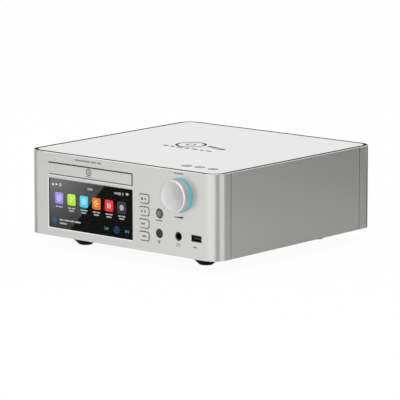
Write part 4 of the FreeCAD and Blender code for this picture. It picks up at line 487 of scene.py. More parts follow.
FINISHES: tuple[Finish | LitFinish | TurnedFinish | SmokedGlass | CircuitBoard, ...] = (
    Finish("case_silver", (0.63, 0.625, 0.615), 0.27, 0.85, grain_depth=0.000006, tint=0.01, spread=0.004),
    Finish("top_silver", (0.75, 0.75, 0.75), 0.35, 0.6, grain_depth=0.000008, tint=0.008, spread=0.006),
    Finish("lid_dark", (0.035, 0.035, 0.037), 0.85, specular=0.05),
    Finish("floor_steel", (0.06, 0.06, 0.062), 0.55, grain_scale=700.0, grain_depth=0.00006),
    Finish("rear_black", (0.035, 0.035, 0.038), 0.5, grain_scale=800.0, grain_depth=0.00005),
    Finish("foot_rubber", (0.0015, 0.0015, 0.0018), 0.6, 0.0, Grain.MOULDED, 500.0, specular=0.03),
    SmokedGlass("screen_glass", (0.94, 0.95, 0.96), ior=1.12),
    Finish("screen_lit", (0.006, 0.006, 0.0065), 0.6, specular=0.02),
    Finish("key_silver", (0.64, 0.635, 0.63), 0.3, 0.85, grain_depth=0.000006, tint=0.01, spread=0.006),
    Finish("button_dark", (0.09, 0.09, 0.092), 0.35, 0.3),
    Finish("eye_smoke", (0.022, 0.022, 0.024), 0.18, specular=0.3),
    TurnedFinish("knob_silver", (0.66, 0.655, 0.65)),
    LitFinish("ring_cyan", (0.01, 0.60, 0.73), 0.95, foot=0.06, height=0.045),
    Finish("socket_black", (0.010, 0.010, 0.0105), 0.5, 0.0, Grain.MOULDED, specular=0.2),
    Finish("socket_steel", (0.12, 0.12, 0.125), 0.3, 1.0, Grain.BRUSHED_ALONG_Y),
    Finish("gold_plate", (0.80, 0.60, 0.24), 0.22, 1.0),
    CircuitBoard("board_green"),
    Finish("parts_black", (0.03, 0.03, 0.032), 0.5, 0.0, Grain.MOULDED),
    Finish("tray_black", (0.035, 0.035, 0.037), 0.5, 0.0, Grain.MOULDED, 900.0),
    Finish("loader_grey", (0.10, 0.10, 0.105), 0.55, 0.0, Grain.MOULDED),
    Finish("gear_white", (0.76, 0.75, 0.70), 0.45, 0.0, Grain.MOULDED),
    Finish("belt_rubber", (0.02, 0.02, 0.02), 0.7, 0.0, Grain.MOULDED),
    Finish("motor_steel", (0.52, 0.52, 0.53), 0.3, 1.0, Grain.DRAWN_ALONG_Z),
    Finish("plain_steel", (0.58, 0.58, 0.59), 0.32, 1.0, Grain.BRUSHED_ALONG_X),
    Finish("rod_chrome", (0.75, 0.75, 0.76), 0.08, 1.0, spread=0.03),
    Finish("puck_black", (0.04, 0.04, 0.042), 0.4, 0.0, Grain.MOULDED),
    Finish("winding", (0.36, 0.17, 0.05), 0.4, 0.0, Grain.MOULDED),
    Finish("sink_black", (0.05, 0.05, 0.053), 0.4, 0.6, Grain.DRAWN_ALONG_Z),
    Finish("mark_grey", (0.05, 0.05, 0.052), 0.9, specular=0.02),
    Finish("mark_soft", (0.19, 0.19, 0.19), 0.9, specular=0.02),
    Finish("contact_grey", (0.03, 0.03, 0.03), 0.5, specular=0.2),
    Finish("sign_white", (0.55, 0.55, 0.54), 0.6, specular=0.2),
    Finish("label_paper", (0.70, 0.70, 0.68), 0.55, specular=0.3),
    Finish("ceramic", (0.42, 0.30, 0.18), 0.5, specular=0.4),
    Finish("collar_red", (0.50, 0.02, 0.02), 0.4),
    Finish("collar_white", (0.75, 0.75, 0.73), 0.4),
    Finish("collar_orange", (0.75, 0.24, 0.02), 0.4),
    # Painted shade: a dark matt finish for flat strips that stand in for the shade inside gaps round holes
    # and in seams
    Finish("edge_grey", (0.035, 0.035, 0.036), 0.8, specular=0.04),
    # Painted highlight: a near-white matt finish for flat strips that stand in for light caught on broken
    # edges
    Finish("edge_bright", (0.95, 0.95, 0.95), 0.7, specular=0.3),
    Finish("sign_pale", (0.45, 0.45, 0.46), 0.4, 0.5),
    LitFinish("lit_white", (0.98, 0.98, 1.0), 0.95),
    LitFinish("lit_soft", (0.62, 0.63, 0.65), 0.9),
    LitFinish("lit_blue", (0.05, 0.22, 0.62), 0.9),
    LitFinish("lit_teal", (0.06, 0.42, 0.50), 0.9),
    LitFinish("lit_dim", (0.12, 0.12, 0.125), 0.9),
    LitFinish("screen_dark", (0.0055, 0.0055, 0.006), 0.9, foot=0.02, height=0.065, fade=0.1),
    # Painted reflection: a glowing pale field that stands in for the gloss of the glass over the upper left,
    # fading towards its foot and its right
    LitFinish("screen_field", (0.222, 0.222, 0.228), 0.9, foot=0.026, height=0.055, fade=0.75, drift=0.74),
    *(LitFinish(name, colour, foot=0.052, height=0.014, fade=0.2) for name, colour in TILE_COLOURS.items()),
)


class Palette:
    """Every finish of the player, made once and looked up by name."""

    def __init__(self) -> None:
        """Builds the shared effects and all finishes."""
        build_grain_group()
        build_handling_group()
        self.made = {finish.name: new_material(finish.name, finish.shade) for finish in FINISHES}

    def dress(self, piece: Piece, name: str) -> None:
        """Gives a piece one finish."""
        piece.data.materials.clear()
        piece.data.materials.append(self.made[name])

    def piece(self, mesh: Mesh, body: str, finish: str, slot: str = "", node: str = "") -> Piece:
        """Makes a mesh into a piece of a body.

        Args:
            mesh: the mesh, in the player's frame, whose name the piece takes.
            body: the body that it moves with.
            finish: its finish, or nothing where the mesh is dressed.
            slot: the record's material slot, where that isn't the finish's name; not used.
            node: the node that it stands in for, if any.

        Returns:
            The new piece.
        """
        piece = bpy.data.objects.new(mesh.name, mesh)
        bpy.context.scene.collection.objects.link(piece)
        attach(piece, body)
        if finish:
            self.dress(piece, finish)
        if node:
            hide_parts(node)
        LOG.info("%s: %d faces on %s", mesh.name, len(mesh.polygons), body)
        return piece


@dataclass
class PhotoCamera:
    """The camera, as solved from the photograph's straight edges."""

    focal_px: float = 2879.6741
    yaw: float = 40.4189
    pitch: float = 10.1842
    roll: float = -0.0346
    distance: float = 3.34407
    slide: float = 0.0018394
    rise: float = -0.0335072
    centre: Triple = (0.0, 0.0027, 0.0144)
    image_px: float = 400.0
    sensor_mm: float = 36.0
    clip: Point = (0.05, 60.0)

    def build(self) -> None:
        """Makes the camera and sets it as the scene's own."""
        yaw, pitch, roll = (math.radians(v) for v in (self.yaw, self.pitch, self.roll))
        back = Vector((math.sin(yaw) * math.cos(pitch), -math.cos(yaw) * math.cos(pitch), math.sin(pitch)))
        right = Vector((math.cos(yaw), math.sin(yaw), 0.0))
        up = right.cross(-back)
        place = back * self.distance - right * self.slide - up * self.rise + Vector(self.centre)
        turned_right = right * math.cos(roll) + up * math.sin(roll)
        turned_up = up * math.cos(roll) - right * math.sin(roll)
        lens = bpy.data.cameras.new("photo_camera")
        lens.sensor_width = self.sensor_mm
        lens.lens = self.focal_px * self.sensor_mm / self.image_px
        lens.clip_start, lens.clip_end = self.clip
        camera = bpy.data.objects.new("photo_camera", lens)
        turn = Matrix((turned_right, turned_up, back)).transposed().to_4x4()
        camera.matrix_world = Matrix.Translation(place) @ turn
        bpy.context.scene.collection.objects.link(camera)
        bpy.context.scene.camera = camera


@dataclass(frozen=True)
class Lamp:
    """An area lamp that looks at a point."""

    name: str
    place: Triple
    size: Point
    power: float
    aim: Triple = (0.0, 0.0, 0.06)
    shape: str = "RECTANGLE"

    def build(self) -> Piece:
        """Makes the lamp and returns it."""
        light = bpy.data.lights.new(self.name, "AREA")
        light.shape = self.shape
        light.size, light.size_y = self.size
        light.energy = self.power
        lamp = bpy.data.objects.new(self.name, light)
        lamp.location = self.place
        aim = Vector(self.aim) - Vector(self.place)
        lamp.rotation_euler = aim.to_track_quat("-Z", "Y").to_euler()
        bpy.context.scene.collection.objects.link(lamp)
        return lamp


def studio_sheet(
    name: str, points: list[Triple], faces: list[tuple[int, ...]], shade: Callable[[Graph], Node]
) -> Piece:
    """Makes a plain sheet for the studio.

    Args:
        name: the sheet's name.
        points: its corners.
        faces: the corners of each face.
        shade: adds its material's nodes.

    Returns:
        The new sheet.
    """
    mesh = bpy.data.meshes.new(name)
    mesh.from_pydata(points, [], faces)
    mesh.materials.append(new_material(name, shade))
    sheet = bpy.data.objects.new(name, mesh)
    bpy.context.scene.collection.objects.link(sheet)
    return sheet


@dataclass(frozen=True)
class Card:
    """A bent card beside the player, which its metal reflects and the camera doesn't see."""

    name: str
    near: tuple[Point, Point]
    far: tuple[Point, Point]
    grey: float
    height: float = 0.6
    slope: Point = (0.0, 0.0)
    start: float = 1.0
    lift: float = 0.0006
    glows: bool = False
    mottle: float = 0.05
    mottle_scale: float = 2.0

    def build(self) -> None:
        """Makes the card: flat on the floor from its near edge, then upright at its far edge."""
        points = [(*p, self.lift) for p in (*self.near, *self.far[::-1])]
        points += [(*p, self.height) for p in self.far[::-1]]
        card = studio_sheet(self.name, points, [(0, 1, 2, 3), (3, 2, 4, 5)], self.shade)
        card.visible_camera = False
        card.visible_shadow = False
        card.visible_diffuse = False

    def shade(self, graph: Graph) -> Node:
        """Adds the card's paint or glow, which changes evenly along its slope, and returns it."""
        place = graph.place()
        low, high = (self.grey * (1 + way * self.mottle) for way in (-1, 1))
        mottled = graph.ranged(graph.noise(place, self.mottle_scale), low, high)
        along = graph.vector("DOT_PRODUCT", place, (*self.slope, 0.0))
        grey = graph.combine("MULTIPLY", mottled, graph.combine("ADD", along, self.start))
        if self.glows:
            return graph.add("ShaderNodeEmission", {"Strength": grey})
        return graph.add("ShaderNodeBsdfDiffuse", {"Color": grey})


@dataclass
class Studio:
    """Plain soft light in a white surround, a pale floor, and cards for the metal to reflect."""

    floor_half: float = 6.0
    floor_greys: Point = (0.95, 0.97)
    floor_scale: float = 3.0
    ambient: float = 0.9
    show_share: float = 0.95
    lamps: tuple[Lamp, ...] = (
        Lamp("overhead_box", (-0.3, -0.2, 1.9), (1.6, 1.6), 5.0),
        Lamp("front_box", (0.5, -2.2, 0.9), (1.0, 1.2), 6.0),
    )
    cards: tuple[Card, ...] = (
        Card("corner_card", ((0.152, -0.151), (0.160, -0.134)), ((0.51, -0.46), (0.63, -0.225)), 0.42),
        Card(
            "side_card",
            ((0.146, -0.119), (0.146, 0.40)),
            ((0.62, 0.11), (0.52, 0.95)),
            0.40,
            slope=(0.0, -1.0),
            start=1.23,
        ),
        Card(
            "left_card",
            ((-0.150, -0.12), (-0.150, -0.15)),
            ((-0.60, -0.12), (-0.60, -0.34)),
            0.36,
            lift=0.0009,
        ),
        Card("rear_card", ((0.06, 0.152), (0.150, 0.156)), ((-0.20, 0.635), (0.30, 0.72)), 0.08, 0.1),
        Card(
            "bright_card",
            ((0.14, -0.155), (0.155, -0.152)),
            ((0.03, -0.64), (0.42, -0.55)),
            1.12,
            glows=True,
        ),
        Card(
            "front_card",
            ((-0.75, -0.16), (0.134, -0.16)),
            ((-1.10, -0.64), (0.022, -0.64)),
            1.0,
            slope=(0.45, -0.383),
            start=0.887,
            lift=0.0003,
            glows=True,
        ),
    )

    def build(self) -> None:
        """Makes the lamps, the cards, the surround and the floor."""
        for thing in (*self.lamps, *self.cards):
            thing.build()
        self.build_surround()
        self.build_floor()
        bpy.context.scene.view_settings.view_transform = "Standard"

    def shown(self, graph: Graph, share: float, real: Node, shown: Node) -> Node:
        """Mixes two surfaces, so that the second shows to the camera, in metal and through glass.

        Args:
            graph: the graph that both stand in.
            share: how much of the second shows there.
            real: what lights the player.
            shown: what is seen.

        Returns:
            The mixing node.
        """
        path = graph.add("ShaderNodeLightPath").outputs
        seen = graph.combine("ADD", path["Is Camera Ray"], path["Is Glossy Ray"])
        seen = graph.ranged(graph.combine("ADD", seen, path["Is Transmission Ray"]), 0.0, share)
        return graph.add("ShaderNodeMixShader", {0: seen, 1: real.outputs[0], 2: shown.outputs[0]})

    def build_surround(self) -> None:
        """Makes the world: white where it shows, a little softer as a light."""
        world = bpy.data.worlds.new("white_surround")
        world.use_nodes = True
        graph = Graph(world.node_tree)
        soft, plain = (
            graph.add("ShaderNodeBackground", {"Color": WHITE, "Strength": strength})
            for strength in (self.ambient, 1.0)
        )
        mixed = self.shown(graph, 1.0, soft, plain)
        graph.add("ShaderNodeOutputWorld", {"Surface": mixed.outputs[0]})
        bpy.context.scene.world = world

    def build_floor(self) -> None:
        """Makes the pale floor, which keeps the player's shadow."""
        corners = ((-1, -1), (1, -1), (1, 1), (-1, 1))
        points = [(x * self.floor_half, y * self.floor_half, 0.0) for x, y in corners]
        studio_sheet("studio_floor", points, [(0, 1, 2, 3)], self.shade_floor)

    def shade_floor(self, graph: Graph) -> Node:
        """Adds the floor's nodes and returns the last."""
        dark, light = (scaled((grey, grey, grey)) for grey in self.floor_greys)
        pale = graph.blend(graph.noise(graph.place(), self.floor_scale), dark, light)
        matt = graph.add("ShaderNodeBsdfDiffuse", {"Color": pale})
        plain = graph.add("ShaderNodeEmission", {"Color": WHITE, "Strength": 1.0})
        return self.shown(graph, self.show_share, matt, plain)


def finished(work: bmesh.types.BMesh, name: str, angle: float = 0.0, outward: bool = True) -> Mesh:
    """Ends the work on a mesh.

    Args:
        work: the mesh at work, which is freed.
        name: the name of the result.
        angle: edges sharper than this stay sharp, in degrees, and at 0 all faces stay flat.
        outward: whether its faces still have to be turned outwards.

    Returns:
        The finished mesh.
    """
    if outward:
        bmesh.ops.recalc_face_normals(work, faces=work.faces)
    mesh = bpy.data.meshes.new(name)
    work.to_mesh(mesh)
    work.free()
    if angle:
        for face in mesh.polygons:
            face.use_smooth = True
        mesh.set_sharp_from_angle(angle=math.radians(angle))
    return mesh


def join_loops(work: bmesh.types.BMesh, loops: list[list[bmesh.types.BMVert]]) -> None:
    """Fills in the faces between each closed loop and the next, where a loop of one point is a tip."""
    for first, second in zip(loops, loops[1:]):
        steps = max(len(first), len(second))
        for k in range(steps if steps > 1 else 0):
            ends = ((first, k), (second, k), (second, k + 1), (first, k + 1))
            corners = [loop[at % len(loop)] for loop, at in ends]
            work.faces.new(tuple(dict.fromkeys(corners)))


def spun_mesh(name: str, profile: list[Point], axis: Point, angle: float, steps: int = 128) -> Mesh:
    """Turns a closed profile about an axis along Y.

    Args:
        name: the mesh's name.
        profile: radius and place along Y round the section, in millimetres.
        axis: the axis's place in X and Z, in millimetres.
        angle: edges sharper than this stay sharp, in degrees.
        steps: how many steps make a full turn.

    Returns:
        The mesh, in metres.
    """
    work = bmesh.new()
    rings = []
    for radius, along in profile:
        spots = [on_circle(*axis, radius, 360 * k / steps) for k in range(steps if radius else 1)]
        rings.append([work.verts.new((x * MM, along * MM, z * MM)) for x, z in spots])
    join_loops(work, rings + rings[:1])
    return finished(work, name, angle)


def refined(frame: dict, palette: Palette, node: str, finish: str, edges: str = "") -> None:
    """Stands a merged, smoothly shaded copy in for a node.

    Args:
        frame: the loaded frame.
        palette: the finishes.
        node: the node's name.
        finish: the finish of the copy.
        edges: the finish of its upright faces, where that is another one.
    """
    source = frame["nodes"][node]
    work = bmesh.new()
    work.from_mesh(source.data)
    bmesh.ops.remove_doubles(work, verts=work.verts, dist=MERGE_DISTANCE)
    flat = math.radians(FLAT_ANGLE)
    bmesh.ops.dissolve_limit(work, angle_limit=flat, verts=work.verts, edges=work.edges)
    mesh = finished(work, f"{node}_skin", SMOOTH_ANGLE, outward=False)
    piece = palette.piece(mesh, source["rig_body"], finish, node=node)
    weighted = piece.modifiers.new("face_weighted", "WEIGHTED_NORMAL")
    weighted.keep_sharp = True
    weighted.weight = FACE_WEIGHT
    if edges:
        mesh.materials.append(palette.made[edges])
        for face in mesh.polygons:
            face.material_index = int(abs(face.normal.z) < UPRIGHT_LIMIT)


class Drawing:
    """Thin flat shapes on one side of the player, drawn in millimetres.

    Each shape is given by its middle, to the right and upwards. On the top and below the floor, upwards
    means to the rear, and on the side walls, to the right means to the rear.
    """

    def __init__(self, side: Side, level: float, thickness: float = 0.06) -> None:
        """Starts an empty drawing.

        Args:
            side: which way it faces.
            level: the place of the surface it lies on.
            thickness: how far it stands out of that surface.
        """
        self.side = side
        self.level = level
        self.thickness = thickness
        self.outlines: list[list[Point]] = []

    def polygon(self, *points: Point) -> Drawing:
        """Adds an outline, given against the clock, and returns the drawing."""
        self.outlines.append(list(points))
        return self

    def bar(self, x: float, z: float, width: float, height: float) -> Drawing:
        """Adds a rectangle and returns the drawing."""
        a, b = width / 2, height / 2
        return self.polygon((x - a, z - b), (x + a, z - b), (x + a, z + b), (x - a, z + b))

    def rounded(self, x: float, z: float, width: float, height: float, radius: float) -> Drawing:
        """Adds a rectangle with round corners and returns the drawing."""
        a, b = width / 2 - radius, height / 2 - radius
        points = []
        for way_x, way_z, start in ((1, 1, 0), (-1, 1, 90), (-1, -1, 180), (1, -1, 270)):
            points += quarter(x + way_x * a, z + way_z * b, radius, start)
        return self.polygon(*points)

    def disc(self, x: float, z: float, radius: float) -> Drawing:
        """Adds a full disc and returns the drawing."""
        turns = (360 * step / DISC_STEPS for step in range(DISC_STEPS))
        return self.polygon(*(on_circle(x, z, radius, turn) for turn in turns))

    def frame(
        self,
        x: float,
        z: float,
        width: float,
        height: float,
        radius: float,
        line: float,
        bare: range = range(0),
    ) -> Drawing:
        """Adds a line just outside a rectangle with round corners, but for the bare steps.

        Args:
            x: the middle, to the right.
            z: the middle, upwards.
            width: the rectangle's width.
            height: the rectangle's height.
            radius: its corners' radius.
            line: the line's width.
            bare: the steps round it that get no line.

        Returns:
            The drawing.
        """
        inner, outer = (
            Drawing(self.side, 0.0).rounded(x, z, width + 2 * out, height + 2 * out, radius + out).outlines[0]
            for out in (0.0, line)
        )
        for i, corner in enumerate(inner):
            if i not in bare:
                j = (i + 1) % len(inner)
                self.polygon(corner, outer[i], outer[j], inner[j])
        return self

    def arc(
        self, x: float, z: float, radius: float, width: float, start: float = 0.0, turn: float = 360.0
    ) -> Drawing:
        """Adds a ring or a part of one.

        Args:
            x: the middle, to the right.
            z: the middle, upwards.
            radius: the line's middle radius.
            width: the line's width.
            start: the first angle in degrees.
            turn: how far it goes round.

        Returns:
            The drawing.
        """
        steps = max(LEAST_ARC_STEPS, int(abs(turn) / ARC_STEP))
        for step in range(steps):
            a, b = (start + turn * k / steps for k in (step, step + 1))
            corners = ((-1, a), (1, a), (1, b), (-1, b))
            self.polygon(*(on_circle(x, z, radius + way * width / 2, degrees) for way, degrees in corners))
        return self

    def line(self, first: Point, second: Point, width: float) -> Drawing:
        """Adds a straight line of a width and returns the drawing."""
        dx, dz = second[0] - first[0], second[1] - first[1]
        half = width / 2 / math.hypot(dx, dz)
        corners = ((first, -1), (second, -1), (second, 1), (first, 1))
        return self.polygon(*((p[0] - way * dz * half, p[1] + way * dx * half) for p, way in corners))

    def words(
        self, x: float, z: float, height: float, widths: tuple[float, ...], gap: float = 0.9
    ) -> Drawing:
        """Adds a row of plain bars where a caption would stand.

        Args:
            x: the row's left end.
            z: its middle height.
            height: the bars' height.
            widths: each bar's width.
            gap: the space between two bars.

        Returns:
            The drawing.
        """
        for width in widths:
            self.rounded(x + width / 2, z, width, height, height * BAR_ROUNDING)
            x += width + gap
        return self

    def strokes(self, table: Strokes, x: float = 0.0, z: float = 0.0, unit: float = 1.0) -> Drawing:
        """Adds every shape of a table.

        Args:
            table: each shape's method with its numbers.
            x: where the table's zero stands, to the right.
            z: where it stands, upwards.
            unit: how large one unit of the table is drawn.

        Returns:
            The drawing.
        """
        plain = Drawing(self.side, 0.0)
        for draw, *numbers in table:
            draw(plain, *numbers)
        for outline in plain.outlines:
            self.polygon(*((x + a * unit, z + b * unit) for a, b in outline))
        return self

    def mesh(self, name: str) -> Mesh:
        """Makes all outlines into one mesh of thin plates and returns it."""
        work = bmesh.new()
        for outline in self.outlines:
            low = [work.verts.new(self.point(spot, 0.0)) for spot in outline]
            high = [work.verts.new(self.point(spot, self.thickness)) for spot in outline]
            work.faces.new(high)
            work.faces.new(low[::-1])
            join_loops(work, [high, low])
        return finished(work, name)

    def point(self, spot: Point, rise: float) -> Triple:
        """Returns a drawing's point in the player's frame, in metres."""
        axis, way = self.side.value
        place = list(spot)
        place.insert(axis, self.level + way * rise)
        return tuple(c * MM for c in place)

    def build(self, palette: Palette, name: str, body: str, finish: str, slot: str) -> None:
        """Makes the drawing into a piece.

        Args:
            palette: the finishes.
            name: the piece's name.
            body: the body that it moves with.
            finish: its finish.
            slot: the record's material slot.
        """
        palette.piece(self.mesh(name), body, finish, slot)


# Strokes of each sign, in halves of its height round its middle
SIGNS: dict[Symbol, Strokes] = {
    Symbol.STOP_EJECT: (
        (Drawing.bar, -1.5, 0.0, 1.7, 1.7),
        (Drawing.polygon, (0.5, -0.2), (2.5, -0.2), (1.5, 0.9)),
        (Drawing.bar, 1.5, -0.65, 2.0, 0.4),
    ),
    Symbol.PLAY_PAUSE: (
        (Drawing.polygon, (-2.2, -1.0), (-0.5, 0.0), (-2.2, 1.0)),
        (Drawing.bar, 0.8, 0.0, 0.52, 2.0),
        (Drawing.bar, 1.8, 0.0, 0.52, 2.0),
    ),
    Symbol.PREVIOUS: (
        (Drawing.polygon, (0.9, 1.0), (-0.4, 0.0), (0.9, -1.0)),
        (Drawing.polygon, (-0.5, 1.0), (-1.8, 0.0), (-0.5, -1.0)),
        (Drawing.bar, -2.1, 0.0, 0.32, 2.0),
    ),
    Symbol.NEXT: (
        (Drawing.polygon, (-0.9, -1.0), (0.4, 0.0), (-0.9, 1.0)),
        (Drawing.polygon, (0.5, -1.0), (1.8, 0.0), (0.5, 1.0)),
        (Drawing.bar, 2.1, 0.0, 0.32, 2.0),
    ),
    Symbol.DISC: ((Drawing.arc, 0.0, 0.0, 0.92, 0.2), (Drawing.arc, 0.0, 0.0, 0.3, 0.2)),
    Symbol.NOTE: (
        (Drawing.disc, -0.4, -0.6, 0.34),
        (Drawing.line, (-0.1, -0.6), (-0.1, 0.9), 0.18),
        (Drawing.line, (-0.1, 0.8), (0.6, 0.4), 0.28),
    ),
    Symbol.GLOBE: (
        (Drawing.arc, 0.0, 0.0, 0.92, 0.18),
        (Drawing.line, (-0.9, 0.0), (0.9, 0.0), 0.16),
        (Drawing.line, (0.0, -0.9), (0.0, 0.9), 0.16),
    ),
    Symbol.ARROW_IN: (
        (Drawing.arc, 0.0, 0.0, 0.92, 0.2, 60, 240),
        (Drawing.line, (1.1, 0.0), (-0.1, 0.0), 0.2),
        (Drawing.polygon, (-0.35, 0.0), (0.1, -0.35), (0.1, 0.35)),
    ),
    Symbol.SLIDERS: (
        *((Drawing.line, (x, -0.9), (x, 0.9), 0.16) for x in (-0.6, 0.0, 0.6)),
        *((Drawing.bar, x, z, 0.48, 0.28) for x, z in ((-0.6, 0.4), (0.0, -0.35), (0.6, 0.15))),
    ),
    Symbol.COG: (
        (Drawing.arc, 0.0, 0.0, 0.22, 0.16),
        (Drawing.arc, 0.0, 0.0, 0.66, 0.16),
        *(
            (Drawing.line, on_circle(0.0, 0.0, 0.74, turn), on_circle(0.0, 0.0, 1.0, turn), 0.2)
            for turn in range(0, 360, 45)
        ),
    ),
}


@dataclass
class Screen:
    """The lit panel behind the glass, with plain tiles, signs and bars."""

    face: float = -137.0
    left: float = -108.6
    right: float = 18.6
    low: float = 24.3
    high: float = 81.0
    slant: Point = (-77.5, -24.3)
    field_rise: float = 0.04
    caption_rise: float = 0.1
    tile_rise: float = 0.12
    edge_rise: float = 0.14
    sign_rise: float = 0.16
    tile_row: float = 59.0
    tile_start: float = -94.6
    tile_pitch: float = 19.22
    tile_shape: Triple = (12.6, 13.2, 2.2)
    sign_unit: float = 3.4
    status_row: float = 74.5
    transport_row: float = 32.6
    tiles: tuple[tuple[str, Symbol], ...] = (
        ("tile_purple", Symbol.DISC),
        ("tile_lime", Symbol.NOTE),
        ("tile_cyan", Symbol.GLOBE),
        ("tile_orange", Symbol.ARROW_IN),
        ("tile_red", Symbol.SLIDERS),
        ("tile_grey", Symbol.COG),
    )
    first_caption: Strokes = ((Drawing.words, -5.3, -9.9, 1.35, (3.6, 5.9)),)
    two_captions: Strokes = (
        (Drawing.words, -5.3, -9.9, 1.35, (4.6, 5.2)),
        (Drawing.words, -4.0, -12.9, 1.35, (7.6,)),
    )
    last_edge: Strokes = ((Drawing.frame, 0.0, 0.0, 11.8, 12.4, 1.8, 0.5),)
    status_signs: Strokes = (
        (Drawing.polygon, (-105.6, -1.5), (-102.2, -1.5), (-103.9, 1.9)),
        (Drawing.polygon, (-99.8, -1.6), (-96.6, 0.0), (-99.8, 1.6)),
        (Drawing.arc, -92.6, 0.0, 1.4, 0.6),
        (Drawing.arc, -1.6, 0.0, 1.3, 0.5),
        (Drawing.bar, 3.4, 0.0, 0.7, 3.0),
        *((Drawing.arc, 9.8, -1.5, radius, 0.6, 45, 90) for radius in (0.9, 2.0, 3.1)),
    )
    status_captions: Strokes = (
        *((Drawing.rounded, x, 0.0, 1.2, 2.4, 0.3) for x in (-49.6, -47.9, -45.3, -43.6)),
        *((Drawing.rounded, -46.6, z, 0.5, 0.5, 0.2) for z in (0.6, -0.6)),
        (Drawing.words, -9.4, 0.0, 2.3, (1.6, 1.6, 1.6), 0.5),
    )
    foot_captions: Strokes = (
        (Drawing.words, -94.0, 34.1, 1.7, (5.2, 1.4, 7.4, 6.0, 9.0)),
        (Drawing.words, -94.0, 30.1, 1.5, (11.0,)),
    )
    blue_signs: Strokes = (
        (Drawing.arc, -101.9, 0.0, 3.0, 0.5),
        (Drawing.arc, -101.9, 0.0, 1.2, 0.5),
        (Drawing.arc, -6.0, 0.0, 3.5, 0.5),
        (Drawing.polygon, (-6.9, -1.4), (-4.6, 0.0), (-6.9, 1.4)),
    )
    teal_signs: Strokes = (
        (Drawing.bar, -24.0, 0.0, 0.8, 4.0),
        (Drawing.bar, 11.6, 0.0, 0.8, 4.0),
        (Drawing.polygon, (-19.4, 1.9), (-22.8, 0.0), (-19.4, -1.9)),
        (Drawing.polygon, (7.0, -1.9), (10.4, 0.0), (7.0, 1.9)),
    )

    def draw(self, thickness: float) -> Drawing:
        """Starts a drawing on the panel's face."""
        return Drawing(Side.FRONT, self.face, thickness)

    def build(self, palette: Palette) -> None:
        """Draws all that is lit, and gives each layer its finish."""
        signs, captions = self.draw(self.sign_rise), self.draw(self.caption_rise)
        layers = self.fields()
        for index, (finish, symbol) in enumerate(self.tiles):
            x = self.tile_start + self.tile_pitch * index
            layers[finish] = (finish, self.draw(self.tile_rise).rounded(x, self.tile_row, *self.tile_shape))
            signs.strokes(SIGNS[symbol], x, self.tile_row, self.sign_unit)
            captions.strokes(self.two_captions if index else self.first_caption, x, self.tile_row)
        signs.strokes(self.status_signs, z=self.status_row)
        captions.strokes(self.status_captions, z=self.status_row).strokes(self.foot_captions)
        layers["tile_edge"] = ("lit_dim", self.draw(self.edge_rise).strokes(self.last_edge, x, self.tile_row))
        layers |= {"signs": ("lit_white", signs), "captions": ("lit_soft", captions)}
        for name, finish, table in (
            ("blue_signs", "lit_blue", self.blue_signs),
            ("teal_signs", "lit_teal", self.teal_signs),
        ):
            layers[name] = (finish, self.draw(self.tile_rise).strokes(table, z=self.transport_row))
        for name, (finish, drawing) in layers.items():
            drawing.build(palette, f"screen_{name}", "case", finish, "screen_lit")

    def fields(self) -> dict[str, tuple[str, Drawing]]:
        """Returns the paler slanting field on the left, a painted reflection of the glass's gloss, and the
        dark one on the right.
        """
        low, high = ((foot_x, z) for foot_x, z in zip(self.slant, (self.low, self.high)))
        pale, dark = self.draw(self.field_rise), self.draw(self.field_rise)
        # The pale field is a painted reflection of the glass's gloss, not part of the picture on the screen
        pale.polygon((self.left, self.low), low, high, (self.left, self.high))
        dark.polygon(low, (self.right, self.low), (self.right, self.high), high)
        return {"field": ("screen_field", pale), "dark_field": ("screen_dark", dark)}


@dataclass(frozen=True)
class Layer:
    """A flat piece that a table of strokes gives."""

    name: str
    finish: str
    slot: str
    side: Side
    level: float
    thickness: float
    table: Strokes
    body: str = "case"
    at: Point = (0.0, 0.0)
    unit: float = 1.0

    def build(self, palette: Palette) -> None:
        """Draws the table and makes it into the piece."""
        drawing = Drawing(self.side, self.level, self.thickness).strokes(self.table, *self.at, self.unit)
        drawing.build(palette, self.name, self.body, self.finish, self.slot)


PANEL_FACE = -139.3
EDGE_RISE = 0.015
MARK_RISE = 0.03
KEY_FACE = -140.1
KEY_MIDDLE = 36.7
KEY_SIGN_UNIT = 1.55
# Width, height and corner of a key's hole, the width of the painted shade line round it, and the steps on its
# left without one, where the edge catches light
KEY_LINE: tuple[object, ...] = (14.5, 9.6, 1.9, 0.36, range(10, 20))
KEYS: tuple[tuple[str, float, Symbol], ...] = (
    ("key_eject", 73.7, Symbol.STOP_EJECT),
    ("key_play", 59.6, Symbol.PLAY_PAUSE),
    ("key_previous", 45.5, Symbol.PREVIOUS),
    ("key_next", 31.4, Symbol.NEXT),
)
